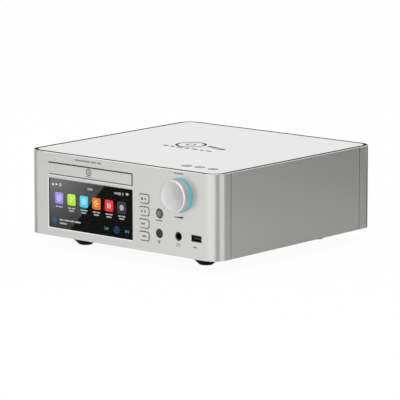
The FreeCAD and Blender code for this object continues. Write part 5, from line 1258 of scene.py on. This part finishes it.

# The signs on the keys and beside the controls, dark lines of painted shade in the gaps round their holes,
# and bright lines of painted highlight on broken edges
CONTROL_LAYERS: tuple[Layer, ...] = (
    *(
        Layer(
            f"{node}_sign", "mark_grey", "button_dark", Side.FRONT, KEY_FACE, MARK_RISE,
            SIGNS[symbol],
            node,
            (KEY_MIDDLE, height),
            KEY_SIGN_UNIT,
        )
        for node, height, symbol in KEYS
    ),
    Layer(
        "panel_signs", "mark_grey", "button_dark", Side.FRONT, PANEL_FACE, MARK_RISE,
        (
            (Drawing.polygon, (80.2, 57.9), (94.2, 57.9), (94.2, 60.1), (80.2, 58.5)),
            *((Drawing.arc, 58.9, 25.7, radius, 0.65, 50, 80) for radius in (1.0, 2.1, 3.2)),
            (Drawing.disc, 58.9, 25.7, 0.5),
            (Drawing.arc, 86.9, 27.4, 1.8, 0.5, 0, 180),
            (Drawing.bar, 85.2, 26.8, 0.9, 1.8),
            (Drawing.bar, 88.6, 26.8, 0.9, 1.8),
            (Drawing.line, (109.0, 27.8), (114.6, 27.8), 0.5),
            (Drawing.disc, 109.2, 27.8, 0.8),
            (Drawing.line, (110.8, 27.8), (112.6, 29.2), 0.4),
            (Drawing.line, (111.2, 27.8), (113.0, 26.6), 0.4),
            (Drawing.words, 54.2, 51.6, 1.2, (2.3, 1.6, 2.9, 2.0), 0.3),
        ),
    ),
    Layer(
        "panel_captions", "mark_soft", "button_dark", Side.FRONT, PANEL_FACE, MARK_RISE,
        (
            (Drawing.words, 80.6, 107.6, 1.7, (1.7, 2.2, 1.8, 2.4, 2.0, 1.8), 0.25),
            (Drawing.words, -67.2, 106.2, 1.9, (2.9, 2.0, 3.1, 2.3, 2.9, 2.1, 3.1, 2.5), 0.2),
            (Drawing.words, -43.4, 106.2, 1.9, (2.5, 2.9, 2.1), 0.2),
            (Drawing.words, -33.6, 106.2, 1.9, (2.9, 2.7), 0.2),
        ),
    ),
    Layer(
        "drawer_emblem", "mark_grey", "button_dark", Side.FRONT, PANEL_FACE, EDGE_RISE,
        (
            (Drawing.arc, -46.8, 94.2, 3.6, 1.0),
            (Drawing.arc, -46.8, 94.2, 1.2, 0.9),
            (Drawing.bar, -46.8, 88.9, 9.6, 0.55),
            # Painted shade: a dark bar on the drawer's front beside the gap at its right end
            (Drawing.bar, 18.3, 92.8, 0.5, 12.0),
        ),
        "drawer",
    ),
    Layer(
        "standby_sign", "sign_pale", "key_silver", Side.FRONT, -139.7, MARK_RISE,
        ((Drawing.arc, 59.1, 59.3, 1.7, 0.5, 120, 300), (Drawing.line, (59.1, 59.4), (59.1, 61.6), 0.5)),
        "standby_button",
    ),
    # Painted shade: dark lines in the gaps round the drawer, the keys and a socket, heavier where the shade
    # falls
    Layer(
        "hole_edges", "edge_grey", "button_dark", Side.FRONT, PANEL_FACE, EDGE_RISE,
        (
            (Drawing.bar, -45.0, 99.75, 129.0, 1.1),
            (Drawing.bar, -45.0, 85.85, 128.6, 0.5),
            (Drawing.bar, 19.3, 93.2, 1.1, 13.6),
            (Drawing.arc, 87.1, 37.2, 4.75, 0.45),
            *((Drawing.frame, KEY_MIDDLE, height, *KEY_LINE) for _, height, _ in KEYS),
        ),
    ),
    # Painted highlight: bright lines where broken edges beside the screen, under the drawer and along the top
    # rim catch light
    Layer(
        "bright_edges", "edge_bright", "case_silver", Side.FRONT, PANEL_FACE, EDGE_RISE,
        (
            (Drawing.bar, -109.7, 52.8, 0.8, 58.0),
            (Drawing.bar, -45.0, 23.7, 129.8, 0.75),
            (Drawing.bar, -45.0, 85.3, 128.6, 0.5),
            (Drawing.bar, 0.0, 110.75, 234.0, 0.45),
        ),
    ),
    Layer(
        "usb_tongue_tip", "contact_grey", "socket_black", Side.FRONT, -133.15, 4.4,
        ((Drawing.bar, 112.8, 37.5, 10.8, 1.5),),
    ),
    Layer(
        "usb_contacts", "gold_plate", "gold_plate", Side.BOTTOM, 36.75, 0.08,
        tuple((Drawing.bar, x, -135.35, 1.1, 3.4) for x in (109.3, 111.8, 113.8, 116.3)),
    ),
)

TOP_SIGN_PLACES: tuple[Point, ...] = ((75.1, -111.0), (92.0, -108.5), (112.0, -109.3))

# The marks on the top plate, dark strips of painted shade in the seams beside the side walls, and a dark band
# of painted shade in the top groove
TOP_AND_SIDE_LAYERS: tuple[Layer, ...] = (
    Layer(
        "top_signs", "mark_grey", "lid_dark", Side.TOP, 111.3, 0.02,
        (
            (Drawing.arc, -18.0, 5.2, 17.0, 3.0),
            (Drawing.arc, -18.0, 5.2, 5.0, 2.0),
            (Drawing.bar, 9.0, 7.45, 7.0, 6.5),
            (Drawing.bar, 19.0, 4.95, 8.5, 6.5),
            (Drawing.bar, 30.5, 2.075, 10.0, 6.5),
            (Drawing.words, -41.0, -17.7, 4.5, (8.0, 6.0, 9.0, 7.0, 9.0, 6.0, 8.0), 3.4),
            *((Drawing.frame, x, y, 7.5, 6.5, 1.5, 2.0) for x, y in TOP_SIGN_PLACES),
            *((Drawing.bar, x, y, 5.0, 2.6) for x, y in TOP_SIGN_PLACES),
        ),
    ),
    # Painted shade: dark strips over the seams between the panels on both side walls
    *(
        Layer(
            f"seam_strips_{side.name.lower()}", "edge_grey", "lid_dark", side, level, EDGE_RISE,
            tuple((Drawing.bar, y, 62.7, 0.7, 95.8) for y in (-114.4, 117.2)),
        )
        for side, level in ((Side.LEFT, -142.0), (Side.RIGHT, 142.0))
    ),
    # Painted shade: a thin dark band on the wall of the groove round the top plate
    Layer(
        "groove_lining", "lid_dark", "lid_dark", Side.TOP, 110.3, 0.95,
        ((Drawing.frame, 0.0, 2.7, 282.2, 282.2, 16.1, 0.05),),
    ),
)

# The marks on the rear plate, and a plain label under the floor
REAR_AND_FLOOR_LAYERS: tuple[Layer, ...] = (
    Layer(
        "rear_marks", "sign_white", "rear_black", Side.REAR, 139.7, MARK_RISE,
        (
            *((Drawing.words, x, 37.8, 1.4, (2.4, 3.2, 1.8), 0.5) for x in (-64.2, -40.2, -16.2)),
            (Drawing.words, -42.0, 59.4, 1.4, (4.0, 2.6, 3.2), 0.6),
            (Drawing.words, 18.6, 37.6, 1.4, (3.4, 2.2, 4.0), 0.6),
            (Drawing.words, 86.0, 32.6, 1.4, (3.0, 4.4, 3.0), 0.8),
            *((Drawing.words, x, 74.4, 1.4, (3.2, 3.0), 0.6) for x in (-107.4, 100.6)),
            (Drawing.bar, 60.0, 64.0, 0.8, 4.0),
            (Drawing.arc, 60.0, 33.0, 1.7, 0.7),
            (Drawing.words, -14.0, 92.0, 1.6, (5.0, 3.4, 6.0, 4.2, 5.0), 1.0),
        ),
    ),
    Layer(
        "rating_label", "label_paper", "floor_steel", Side.BOTTOM, 15.9, 0.08,
        ((Drawing.rounded, -50.0, 92.0, 56.0, 30.0, 2.0),),
    ),
    Layer(
        "rating_bars", "mark_grey", "floor_steel", Side.BOTTOM, 15.82, MARK_RISE,
        (
            (Drawing.words, -74.0, 102.0, 1.8, (14.0, 9.0, 12.0), 1.4),
            (Drawing.words, -74.0, 96.5, 1.8, (9.0, 16.0), 1.4),
            (Drawing.words, -74.0, 91.0, 1.8, (20.0, 6.0, 8.0), 1.4),
            (Drawing.words, -74.0, 85.5, 1.8, (12.0, 12.0), 1.4),
            (Drawing.frame, -50.0, 92.0, 51.0, 25.0, 1.5, 0.4),
        ),
    ),
)


@dataclass
class Knob:
    """The large turned knob, a little dished, with a bright bevel, a lit ring and a lamp of its own."""

    axis: Point = (87.9, 83.2)
    face: float = -150.7
    back: float = -141.1
    radius: float = 18.6
    bevel: float = 1.3
    dish: float = 0.6
    wall: float = 3.2
    plate: float = 3.6
    boss: float = 5.6
    shaft: float = 3.02
    seat: float = 0.02
    bevel_steps: int = 8
    dish_steps: int = 12
    ring: Point = (16.2, 19.3)
    ring_back: float = -138.3
    ring_face: float = -139.95
    ring_bevel: float = 0.2
    lamp_place: Triple = (-0.108, -0.553, 0.044)
    lamp_size: float = 0.12
    lamp_power: float = 0.24

    def build(self, palette: Palette) -> None:
        """Makes the knob, its ring and its lamp."""
        mesh = spun_mesh("knob_turned", self.profile(), self.axis, angle=24.0)
        knob = palette.piece(mesh, "knob", "knob_silver", node="knob")
        self.build_ring(palette)
        self.light_face(knob)

    def profile(self) -> list[Point]:
        """Returns the knob's section, as radius and place along Y."""
        inner, hollow = self.face + self.plate, self.radius - self.wall
        points = [(self.shaft, self.back), (self.boss, self.back), (self.boss, inner)]
        points += [(hollow, inner), (hollow, self.back), (self.radius, self.back)]
        flat = self.radius - self.bevel
        for step in range(self.bevel_steps + 1):
            out, up = on_circle(0.0, 0.0, self.bevel, 90 * step / self.bevel_steps)
            points.append((flat + out, self.face + self.bevel - up))
        for step in range(1, self.dish_steps + 1):
            share = 1 - step / self.dish_steps
            points.append((flat * share, self.face + self.dish * (1 - share * share)))
        return points + [(0.0, inner + self.seat), (self.shaft, inner + self.seat)]

    def build_ring(self, palette: Palette) -> None:
        """Makes the lit ring, whose edge stands a little out of its groove."""
        inner, outer = self.ring
        edge = self.ring_face + self.ring_bevel
        profile = [(inner, self.ring_back), (outer, self.ring_back), (outer, edge)]
        profile += [(outer - self.ring_bevel, self.ring_face), (inner, self.ring_face)]
        mesh = spun_mesh("light_ring_turned", profile, self.axis, angle=40.0)
        palette.piece(mesh, "case", "ring_cyan", node="light_ring")

    def light_face(self, knob: Piece) -> None:
        """Adds a small lamp that only the knob gets, low on its left."""
        x, z = self.axis
        aim = (x * MM, self.face * MM, z * MM)
        size = (self.lamp_size, self.lamp_size)
        lamp = Lamp("knob_lamp", self.lamp_place, size, self.lamp_power, aim, "DISK").build()
        lamp.visible_camera = False
        receivers = bpy.data.collections.new("knob_lamp_receivers")
        receivers.objects.link(knob)
        lamp.light_linking.receiver_collection = receivers


@dataclass(frozen=True)
class LoosePart:
    """One separate lump of a node's mesh, in metres."""

    points: list[Vector]
    end_depth: float = 0.0002

    @property
    def low(self) -> Vector:
        """The least corner of its box."""
        return Vector(min(p[k] for p in self.points) for k in range(3))

    @property
    def high(self) -> Vector:
        """The greatest corner of its box."""
        return Vector(max(p[k] for p in self.points) for k in range(3))

    @property
    def middle(self) -> Vector:
        """The middle of its box."""
        return (self.low + self.high) / 2

    @property
    def size(self) -> Vector:
        """The size of its box, in millimetres."""
        return (self.high - self.low) / MM

    def head_way(self) -> Vector:
        """Returns the way from a screw's shank to its head, along its longest side."""
        size, middle = self.size, self.middle
        axis = max(range(3), key=lambda k: size[k])
        reach = []
        for end in (self.low[axis], self.high[axis]):
            near = [p - middle for p in self.points if abs(p[axis] - end) < self.end_depth]
            reach.append(max(p.length_squared - p[axis] ** 2 for p in near))
        way = Vector((0.0, 0.0, 0.0))
        way[axis] = 1.0 if reach[1] > reach[0] else -1.0
        return way


def loose_parts(node: Piece) -> list[LoosePart]:
    """Returns the separate lumps of a node's mesh."""
    work = bmesh.new()
    work.from_mesh(node.data)
    bmesh.ops.remove_doubles(work, verts=work.verts, dist=MERGE_DISTANCE)
    left = set(work.verts)
    parts = []
    for start in work.verts:
        if start not in left:
            continue
        left.discard(start)
        waiting, points = [start], []
        while waiting:
            vert = waiting.pop()
            points.append(vert.co.copy())
            fresh = [edge.other_vert(vert) for edge in vert.link_edges]
            fresh = [other for other in fresh if other in left]
            left.difference_update(fresh)
            waiting += fresh
        parts.append(LoosePart(points))
    work.free()
    return parts


@dataclass(frozen=True)
class Place:
    """Where a copy stands, in metres, and how it is turned about X, Y and Z."""

    at: Vector
    turn: Triple = (0.0, 0.0, 0.0)


class Copies:
    """Geometry Nodes that set a copy of a mesh at each of many places."""

    def __init__(self) -> None:
        """Builds the tree once, which ends with Realize Instances and Set Material."""
        self.tree = bpy.data.node_groups.new("placed_copies", "GeometryNodeTree")
        sockets = self.tree.interface
        sockets.new_socket("Result", in_out="OUTPUT", socket_type="NodeSocketGeometry")
        for label, kind in (("Places", "Geometry"), ("Copy", "Object"), ("Finish", "Material")):
            sockets.new_socket(label, in_out="INPUT", socket_type=f"NodeSocket{kind}")
        graph = Graph(self.tree)
        start = graph.add("NodeGroupInput").outputs
        source = graph.add("GeometryNodeObjectInfo", {"Object": start["Copy"]}).outputs["Geometry"]
        turn = graph.add("GeometryNodeInputNamedAttribute", {"Name": "turn"}, data_type="FLOAT_VECTOR")
        spin = graph.add("FunctionNodeEulerToRotation", {"Euler": turn.outputs["Attribute"]}).outputs[0]
        inputs = {"Points": start["Places"], "Instance": source, "Rotation": spin}
        copies = graph.add("GeometryNodeInstanceOnPoints", inputs).outputs[0]
        real = graph.add("GeometryNodeRealizeInstances", {"Geometry": copies}).outputs[0]
        inputs = {"Geometry": real, "Material": start["Finish"]}
        dressed = graph.add("GeometryNodeSetMaterial", inputs).outputs[0]
        graph.add("NodeGroupOutput", {"Result": dressed})

    def build(
        self,
        palette: Palette,
        name: str,
        copy: Mesh,
        places: list[Place],
        body: str,
        finish: str,
        slot: str = "",
        node: str = "",
    ) -> None:
        """Sets a copy at each place and makes them into one piece.

        Args:
            palette: the finishes.
            name: the piece's name.
            copy: what is repeated.
            places: where.
            body: the body that it moves with.
            finish: its finish.
            slot: the record's material slot, where that isn't the finish's name.
            node: the node that it stands in for, if any.
        """
        holder = bpy.data.meshes.new(f"{name}_places")
        holder.from_pydata([place.at for place in places], [], [])
        turns = holder.attributes.new("turn", "FLOAT_VECTOR", "POINT")
        for row, place in zip(turns.data, places):
            row.vector = place.turn
        carrier = bpy.data.objects.new(holder.name, holder)
        source = bpy.data.objects.new(f"{name}_copy", copy)
        for helper in (carrier, source):
            bpy.context.scene.collection.objects.link(helper)
        modifier = carrier.modifiers.new("copies", "NODES")
        modifier.node_group = self.tree
        given = {"Copy": source, "Finish": palette.made[finish]}
        for item in self.tree.interface.items_tree:
            if item.name in given:
                modifier[item.identifier] = given[item.name]
        evaluated = carrier.evaluated_get(bpy.context.evaluated_depsgraph_get())
        mesh = bpy.data.meshes.new_from_object(evaluated)
        mesh.name = name
        carrier.modifiers.clear()
        for helper in (carrier, source):
            bpy.data.objects.remove(helper)
        palette.piece(mesh, body, "", slot or finish, node)


@dataclass(frozen=True)
class Screw:
    """A socket-head screw with its seat at the origin and its head upwards, in millimetres."""

    node: str
    radius: float
    height: float
    shank: float
    pitch: float = 0.5
    steps: int = 24
    root_share: float = 0.86
    tip_shares: Point = (0.8, 0.7)
    tip_length: float = 0.3
    head: tuple[tuple[float, float, bool], ...] = (
        (0.46, 0.45, True),
        (0.46, 0.93, True),
        (0.4876, 1.0, True),
        (0.80, 1.0, False),
        (0.94, 0.9, False),
        (1.0, 0.7, False),
        (1.0, 0.0, False),
    )

    def mesh(self, length: float) -> Mesh:
        """Makes the screw with a shank of a length, in metres."""
        rings = [(self.ring(out * self.radius, six), up * self.height) for out, up, six in self.head]
        rings.append((self.ring(self.shank), 0.0))
        down = self.pitch
        while down < length - self.pitch:
            rings.append((self.ring(self.shank * self.root_share), self.pitch / 2 - down))
            rings.append((self.ring(self.shank), -down))
            down += self.pitch
        for share, rise in zip(self.tip_shares, (self.tip_length, 0.0)):
            rings.append((self.ring(self.shank * share), rise - length))
        work = bmesh.new()
        loops = [[work.verts.new((x * MM, y * MM, z * MM)) for x, y in ring] for ring, z in rings]
        work.faces.new(loops[0])
        work.faces.new(loops[-1][::-1])
        join_loops(work, loops)
        return finished(work, f"{self.node}_screw", angle=32.0)

    def ring(self, radius: float, six: bool = False) -> list[Point]:
        """Returns points of a circle, or as many of a hexagon."""
        points = []
        for degrees in (360 * k / self.steps for k in range(self.steps)):
            share = math.cos(math.radians(30)) / math.cos(math.radians(degrees % 60 - 30)) if six else 1.0
            points.append(on_circle(0.0, 0.0, radius * share, degrees))
        return points


@dataclass
class Fasteners:
    """Socket-head screws in place of the plain ones."""

    copies: Copies
    kinds: tuple[Screw, ...] = (
        Screw("machine_screws", 2.9, 1.8, 1.45),
        Screw("foot_screws", 3.8, 2.6, 1.95),
    )

    def build(self, frame: dict, palette: Palette) -> None:
        """Makes every kind of screw."""
        for kind in self.kinds:
            node = frame["nodes"][kind.node]
            parts = loose_parts(node)
            length = max(parts[0].size)
            places = []
            for part in parts:
                way = part.head_way()
                seat = part.middle + way * (length / 2 - kind.height) * MM
                places.append(Place(seat, tuple(way.to_track_quat("Z", "Y").to_euler())))
            screw, name = kind.mesh(length - kind.height), f"{kind.node}_turned"
            self.copies.build(palette, name, screw, places, node["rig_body"], "plain_steel", node=kind.node)


@dataclass
class Transformer:
    """The tape that is wound round the ring, each turn over the edge of the one before."""

    copies: Copies
    node: str = "transformer"
    bore: float = 10.0
    rounding: float = 7.0
    turns: int = 84
    lap: float = 0.3

    def build(self, frame: dict, palette: Palette) -> None:
        """Winds the tape and stands it in for the plain ring."""
        node = frame["nodes"][self.node]
        ring = loose_parts(node)[0]
        band = self.band(self.section(ring.size.x / 2, ring.size.z), 360 / self.turns)
        middle = Vector((ring.middle.x, ring.middle.y, ring.low.z))
        places = [Place(middle, (0.0, 0.0, 2 * math.pi * k / self.turns)) for k in range(self.turns)]
        body = node["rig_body"]
        self.copies.build(palette, "transformer_tape", band, places, body, "winding", node=self.node)

    def section(self, outer: float, height: float) -> list[Point]:
        """Returns the ring's rounded section as radius and height."""
        r = self.rounding
        right, left, top = outer - r, self.bore + r, height - r
        points = []
        for x, z, start in ((right, r, 270), (right, top, 0), (left, top, 90), (left, r, 180)):
            points += quarter(x, z, r, start)
        return points

    def band(self, outline: list[Point], degrees: float) -> Mesh:
        """Makes one turn of tape, which starts a little below the turn before."""
        middle = Vector((sum(p[k] for p in outline) / len(outline) for k in range(2)))
        work = bmesh.new()
        loops = []
        for turn, sink in ((0.0, self.lap), (degrees, 0.0), (degrees, self.lap)):
            loop = []
            for spot in outline:
                out = Vector(spot) - middle
                radius, height = middle + out * (1 - sink / out.length)
                x, y = on_circle(0.0, 0.0, radius, turn)
                loop.append(work.verts.new((x * MM, y * MM, height * MM)))
            loops.append(loop)
        join_loops(work, loops)
        work.normal_update()
        sample = next(iter(work.faces))
        inside = Vector((middle.x, 0.0, middle.y)) * MM
        if sample.normal.dot(sample.calc_center_median() - inside) < 0:
            bmesh.ops.reverse_faces(work, faces=work.faces)
        return finished(work, "tape_turn", SMOOTH_ANGLE, outward=False)


@dataclass
class Boards:
    """Legs on the chips, small soldered parts and marks on the three boards."""

    copies: Copies
    level: float = 25.6
    chip_height: float = 2.4
    can_height: float = 20.0
    can_radius: float = 6.8
    mark_rise: float = 0.02
    lid_rise: float = 0.04
    chip_dot: Strokes = ((Drawing.disc, 1.2, 1.2, 0.4),)
    chip_bars: Strokes = tuple((Drawing.words, -2.6, row, 0.7, (1.6, 1.1, 1.8), 0.4) for row in (-0.8, 0.8))
    can_score: Strokes = tuple(
        (Drawing.line, (0.0, 0.0), on_circle(0.0, 0.0, 4.8, degrees), 0.35) for degrees in (90, 210, 330)
    )
    leg_pitch: float = 1.1
    leg_half: float = 0.2
    chip_margin: float = 1.6
    part_pitch: float = 6.5
    part_size: Triple = (2.0, 1.2, 0.6)
    part_share: float = 0.7
    part_margin: float = 3.0
    part_bevel: float = 0.1
    seed: int = 7
    boards: tuple[str, ...] = ("main_board", "dac_board", "power_board")
    solid_nodes: tuple[str, ...] = (
        "board_parts",
        "heat_sink",
        "machine_screws",
        "loader_stands",
        "transformer",
    )
    leg: tuple[Point, ...] = (
        (-0.1, 1.2),
        (0.45, 1.2),
        (0.65, 0.16),
        (1.25, 0.16),
        (1.25, 0.02),
        (0.52, 0.02),
        (0.34, 1.06),
        (-0.1, 1.06),
    )

    def build(self, frame: dict, palette: Palette) -> None:
        """Adds everything on the boards."""
        parts = loose_parts(frame["nodes"]["board_parts"])
        chips = [part for part in parts if abs(part.size.z - self.chip_height) < SIZE_SLACK]
        cans = [part for part in parts if part.size.z > self.can_height]
        self.build_legs(palette, chips)
        self.build_marks(palette, chips, cans)
        self.build_small_parts(frame, palette)

    def build_legs(self, palette: Palette, chips: list[LoosePart]) -> None:
        """Adds bent legs along two or four sides of each chip."""
        places = []
        for chip in chips:
            size, middle = chip.size, chip.middle
            square = abs(size.x - size.y) < SIZE_SLACK
            for axis in (0, 1) if square else (int(size.x >= size.y),):
                along = 1 - axis
                count = int((size[along] - self.chip_margin) / self.leg_pitch)
                for way in (1, -1):
                    turn = math.atan2(way if axis else 0, 0 if axis else way)
                    for k in range(count + 1):
                        at = middle.copy()
                        at.z = self.level * MM
                        at[axis] += way * size[axis] / 2 * MM
                        at[along] += (k - count / 2) * self.leg_pitch * MM
                        places.append(Place(at, (0.0, 0.0, turn)))
        leg = Drawing(Side.REAR, -self.leg_half, 2 * self.leg_half).polygon(*self.leg).mesh("chip_leg")
        self.copies.build(palette, "chip_legs", leg, places, "case", "plain_steel")

    def build_marks(self, palette: Palette, chips: list[LoosePart], cans: list[LoosePart]) -> None:
        """Draws a dot and bars on each chip and a bright scored lid on each can."""
        marks = Drawing(Side.TOP, self.level + self.chip_height, self.mark_rise)
        for chip in chips:
            low, middle = chip.low / MM, chip.middle / MM
            marks.strokes(self.chip_dot, low.x, low.y).strokes(self.chip_bars, middle.x, middle.y)
        marks.build(palette, "chip_marks", "case", "sign_pale", "parts_black")
        level = cans[0].high.z / MM
        lids = Drawing(Side.TOP, level, self.lid_rise)
        scores = Drawing(Side.TOP, level + self.lid_rise, self.mark_rise)
        for can in cans:
            x, y, _ = can.middle / MM
            lids.disc(x, y, self.can_radius)
            scores.strokes(self.can_score, x, y)
        lids.build(palette, "can_lids", "case", "plain_steel", "plain_steel")
        scores.build(palette, "can_scores", "case", "parts_black", "parts_black")

    def build_small_parts(self, frame: dict, palette: Palette) -> None:
        """Scatters small soldered parts where the boards are free."""
        taken = [part for node in self.solid_nodes for part in loose_parts(frame["nodes"][node])]
        chance = random.Random(self.seed)
        places: dict[str, list[Place]] = {"parts_black": [], "ceramic": []}
        for board in self.boards:
            area = LoosePart([Vector(v.co) for v in frame["nodes"][board].data.vertices])
            low, high = area.low / MM, area.high / MM
            for x in self.rows(low.x, high.x):
                for y in self.rows(low.y, high.y):
                    at = Vector((x + chance.uniform(-1, 1), y + chance.uniform(-1, 1), self.level)) * MM
                    if chance.random() < self.part_share and not any(self.near(at, part) for part in taken):
                        turn = chance.choice((0.0, math.pi / 2))
                        finish = chance.choice(("parts_black", "ceramic"))
                        places[finish].append(Place(at, (0.0, 0.0, turn)))
        for finish, spots in places.items():
            name = f"small_parts_{finish}"
            block = self.block_mesh(f"{finish}_block")
            self.copies.build(palette, name, block, spots, "case", finish, "parts_black")

    def rows(self, low: float, high: float) -> list[float]:
        """Returns the rows between a board's two edges."""
        rows = []
        place = low + self.part_pitch
        while place < high - self.part_pitch:
            rows.append(place)
            place += self.part_pitch
        return rows

    def near(self, at: Vector, part: LoosePart) -> bool:
        """Tells whether a place lies within a margin of a part's footprint."""
        low, high, margin = part.low, part.high, self.part_margin * MM
        return all(low[k] - margin < at[k] < high[k] + margin for k in range(2))

    def block_mesh(self, name: str) -> Mesh:
        """Makes a small block with broken edges that stands on the board."""
        size = Vector(self.part_size) * MM
        work = bmesh.new()
        bmesh.ops.create_cube(work, size=1.0)
        bmesh.ops.scale(work, vec=size, verts=work.verts)
        bmesh.ops.translate(work, vec=(0.0, 0.0, size.z / 2), verts=work.verts)
        offset = self.part_bevel * MM
        bmesh.ops.bevel(work, geom=work.edges[:], offset=offset, segments=1, affect="EDGES")
        return finished(work, name, outward=False)


@dataclass
class Rear:
    """Coloured collars on the sound sockets and threads on the aerial posts."""

    plate: float = 139.7
    socket_places: Triple = (-60.0, -36.0, -12.0)
    socket_height: float = 48.4
    collars: tuple[str, ...] = ("collar_red", "collar_white", "collar_orange")
    collar_profile: tuple[Point, ...] = ((4.25, 0.0), (6.3, 0.0), (6.3, 0.9), (5.9, 1.3), (4.25, 1.3))
    post_places: Point = (-104.0, 104.0)
    post_height: float = 84.4
    post_radius: float = 3.1
    post_range: Point = (140.4, 150.2)
    thread_pitch: float = 0.5
    thread_rises: Point = (0.28, 0.02)
    crest_place: float = 0.2

    def build(self, palette: Palette) -> None:
        """Adds the collars and the threads."""
        for x, finish in zip(self.socket_places, self.collars):
            profile = [(radius, self.plate + out) for radius, out in self.collar_profile]
            mesh = spun_mesh(f"{finish}_ring", profile, (x, self.socket_height), angle=40.0, steps=64)
            palette.piece(mesh, "case", finish, "socket_black")
        for side, x in zip(("left", "right"), self.post_places):
            axis = (x, self.post_height)
            mesh = spun_mesh(f"post_thread_{side}", self.thread(), axis, angle=20.0, steps=48)
            palette.piece(mesh, "case", "gold_plate")

    def thread(self) -> list[Point]:
        """Returns the section of an aerial post's thread, as close ridges."""
        along, high = self.post_range
        crest, root = (self.post_radius + rise for rise in self.thread_rises)
        profile = [(self.post_radius, along)]
        while along < high:
            profile += [(crest, along + self.crest_place), (root, along + self.thread_pitch)]
            along += self.thread_pitch
        return profile + [(self.post_radius, along)]


def main() -> None:
    """Builds the whole scene in order."""
    logging.basicConfig(level=logging.INFO, format="%(name)s: %(message)s")
    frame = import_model()
    palette = Palette()
    slots = {row["node"]: row["material_slot"] for row in frame["record"]["subparts"]}
    for node, slot in slots.items():
        palette.dress(frame["nodes"][node], slot)
    for node in ("front_panel", "side_panel_left", "side_panel_right", "rear_frame", "lid", "feet"):
        refined(frame, palette, node, slots[node])
    refined(frame, palette, "top_plate", slots["top_plate"], edges="lid_dark")
    for part in (Screen(), *CONTROL_LAYERS, Knob(), *TOP_AND_SIDE_LAYERS):
        part.build(palette)
    copies = Copies()
    for part in (Fasteners(copies), Transformer(copies), Boards(copies)):
        part.build(frame, palette)
    for part in (Rear(), *REAR_AND_FLOOR_LAYERS):
        part.build(palette)
    PhotoCamera().build()
    Studio().build()


if __name__ == "__main__":
    main()
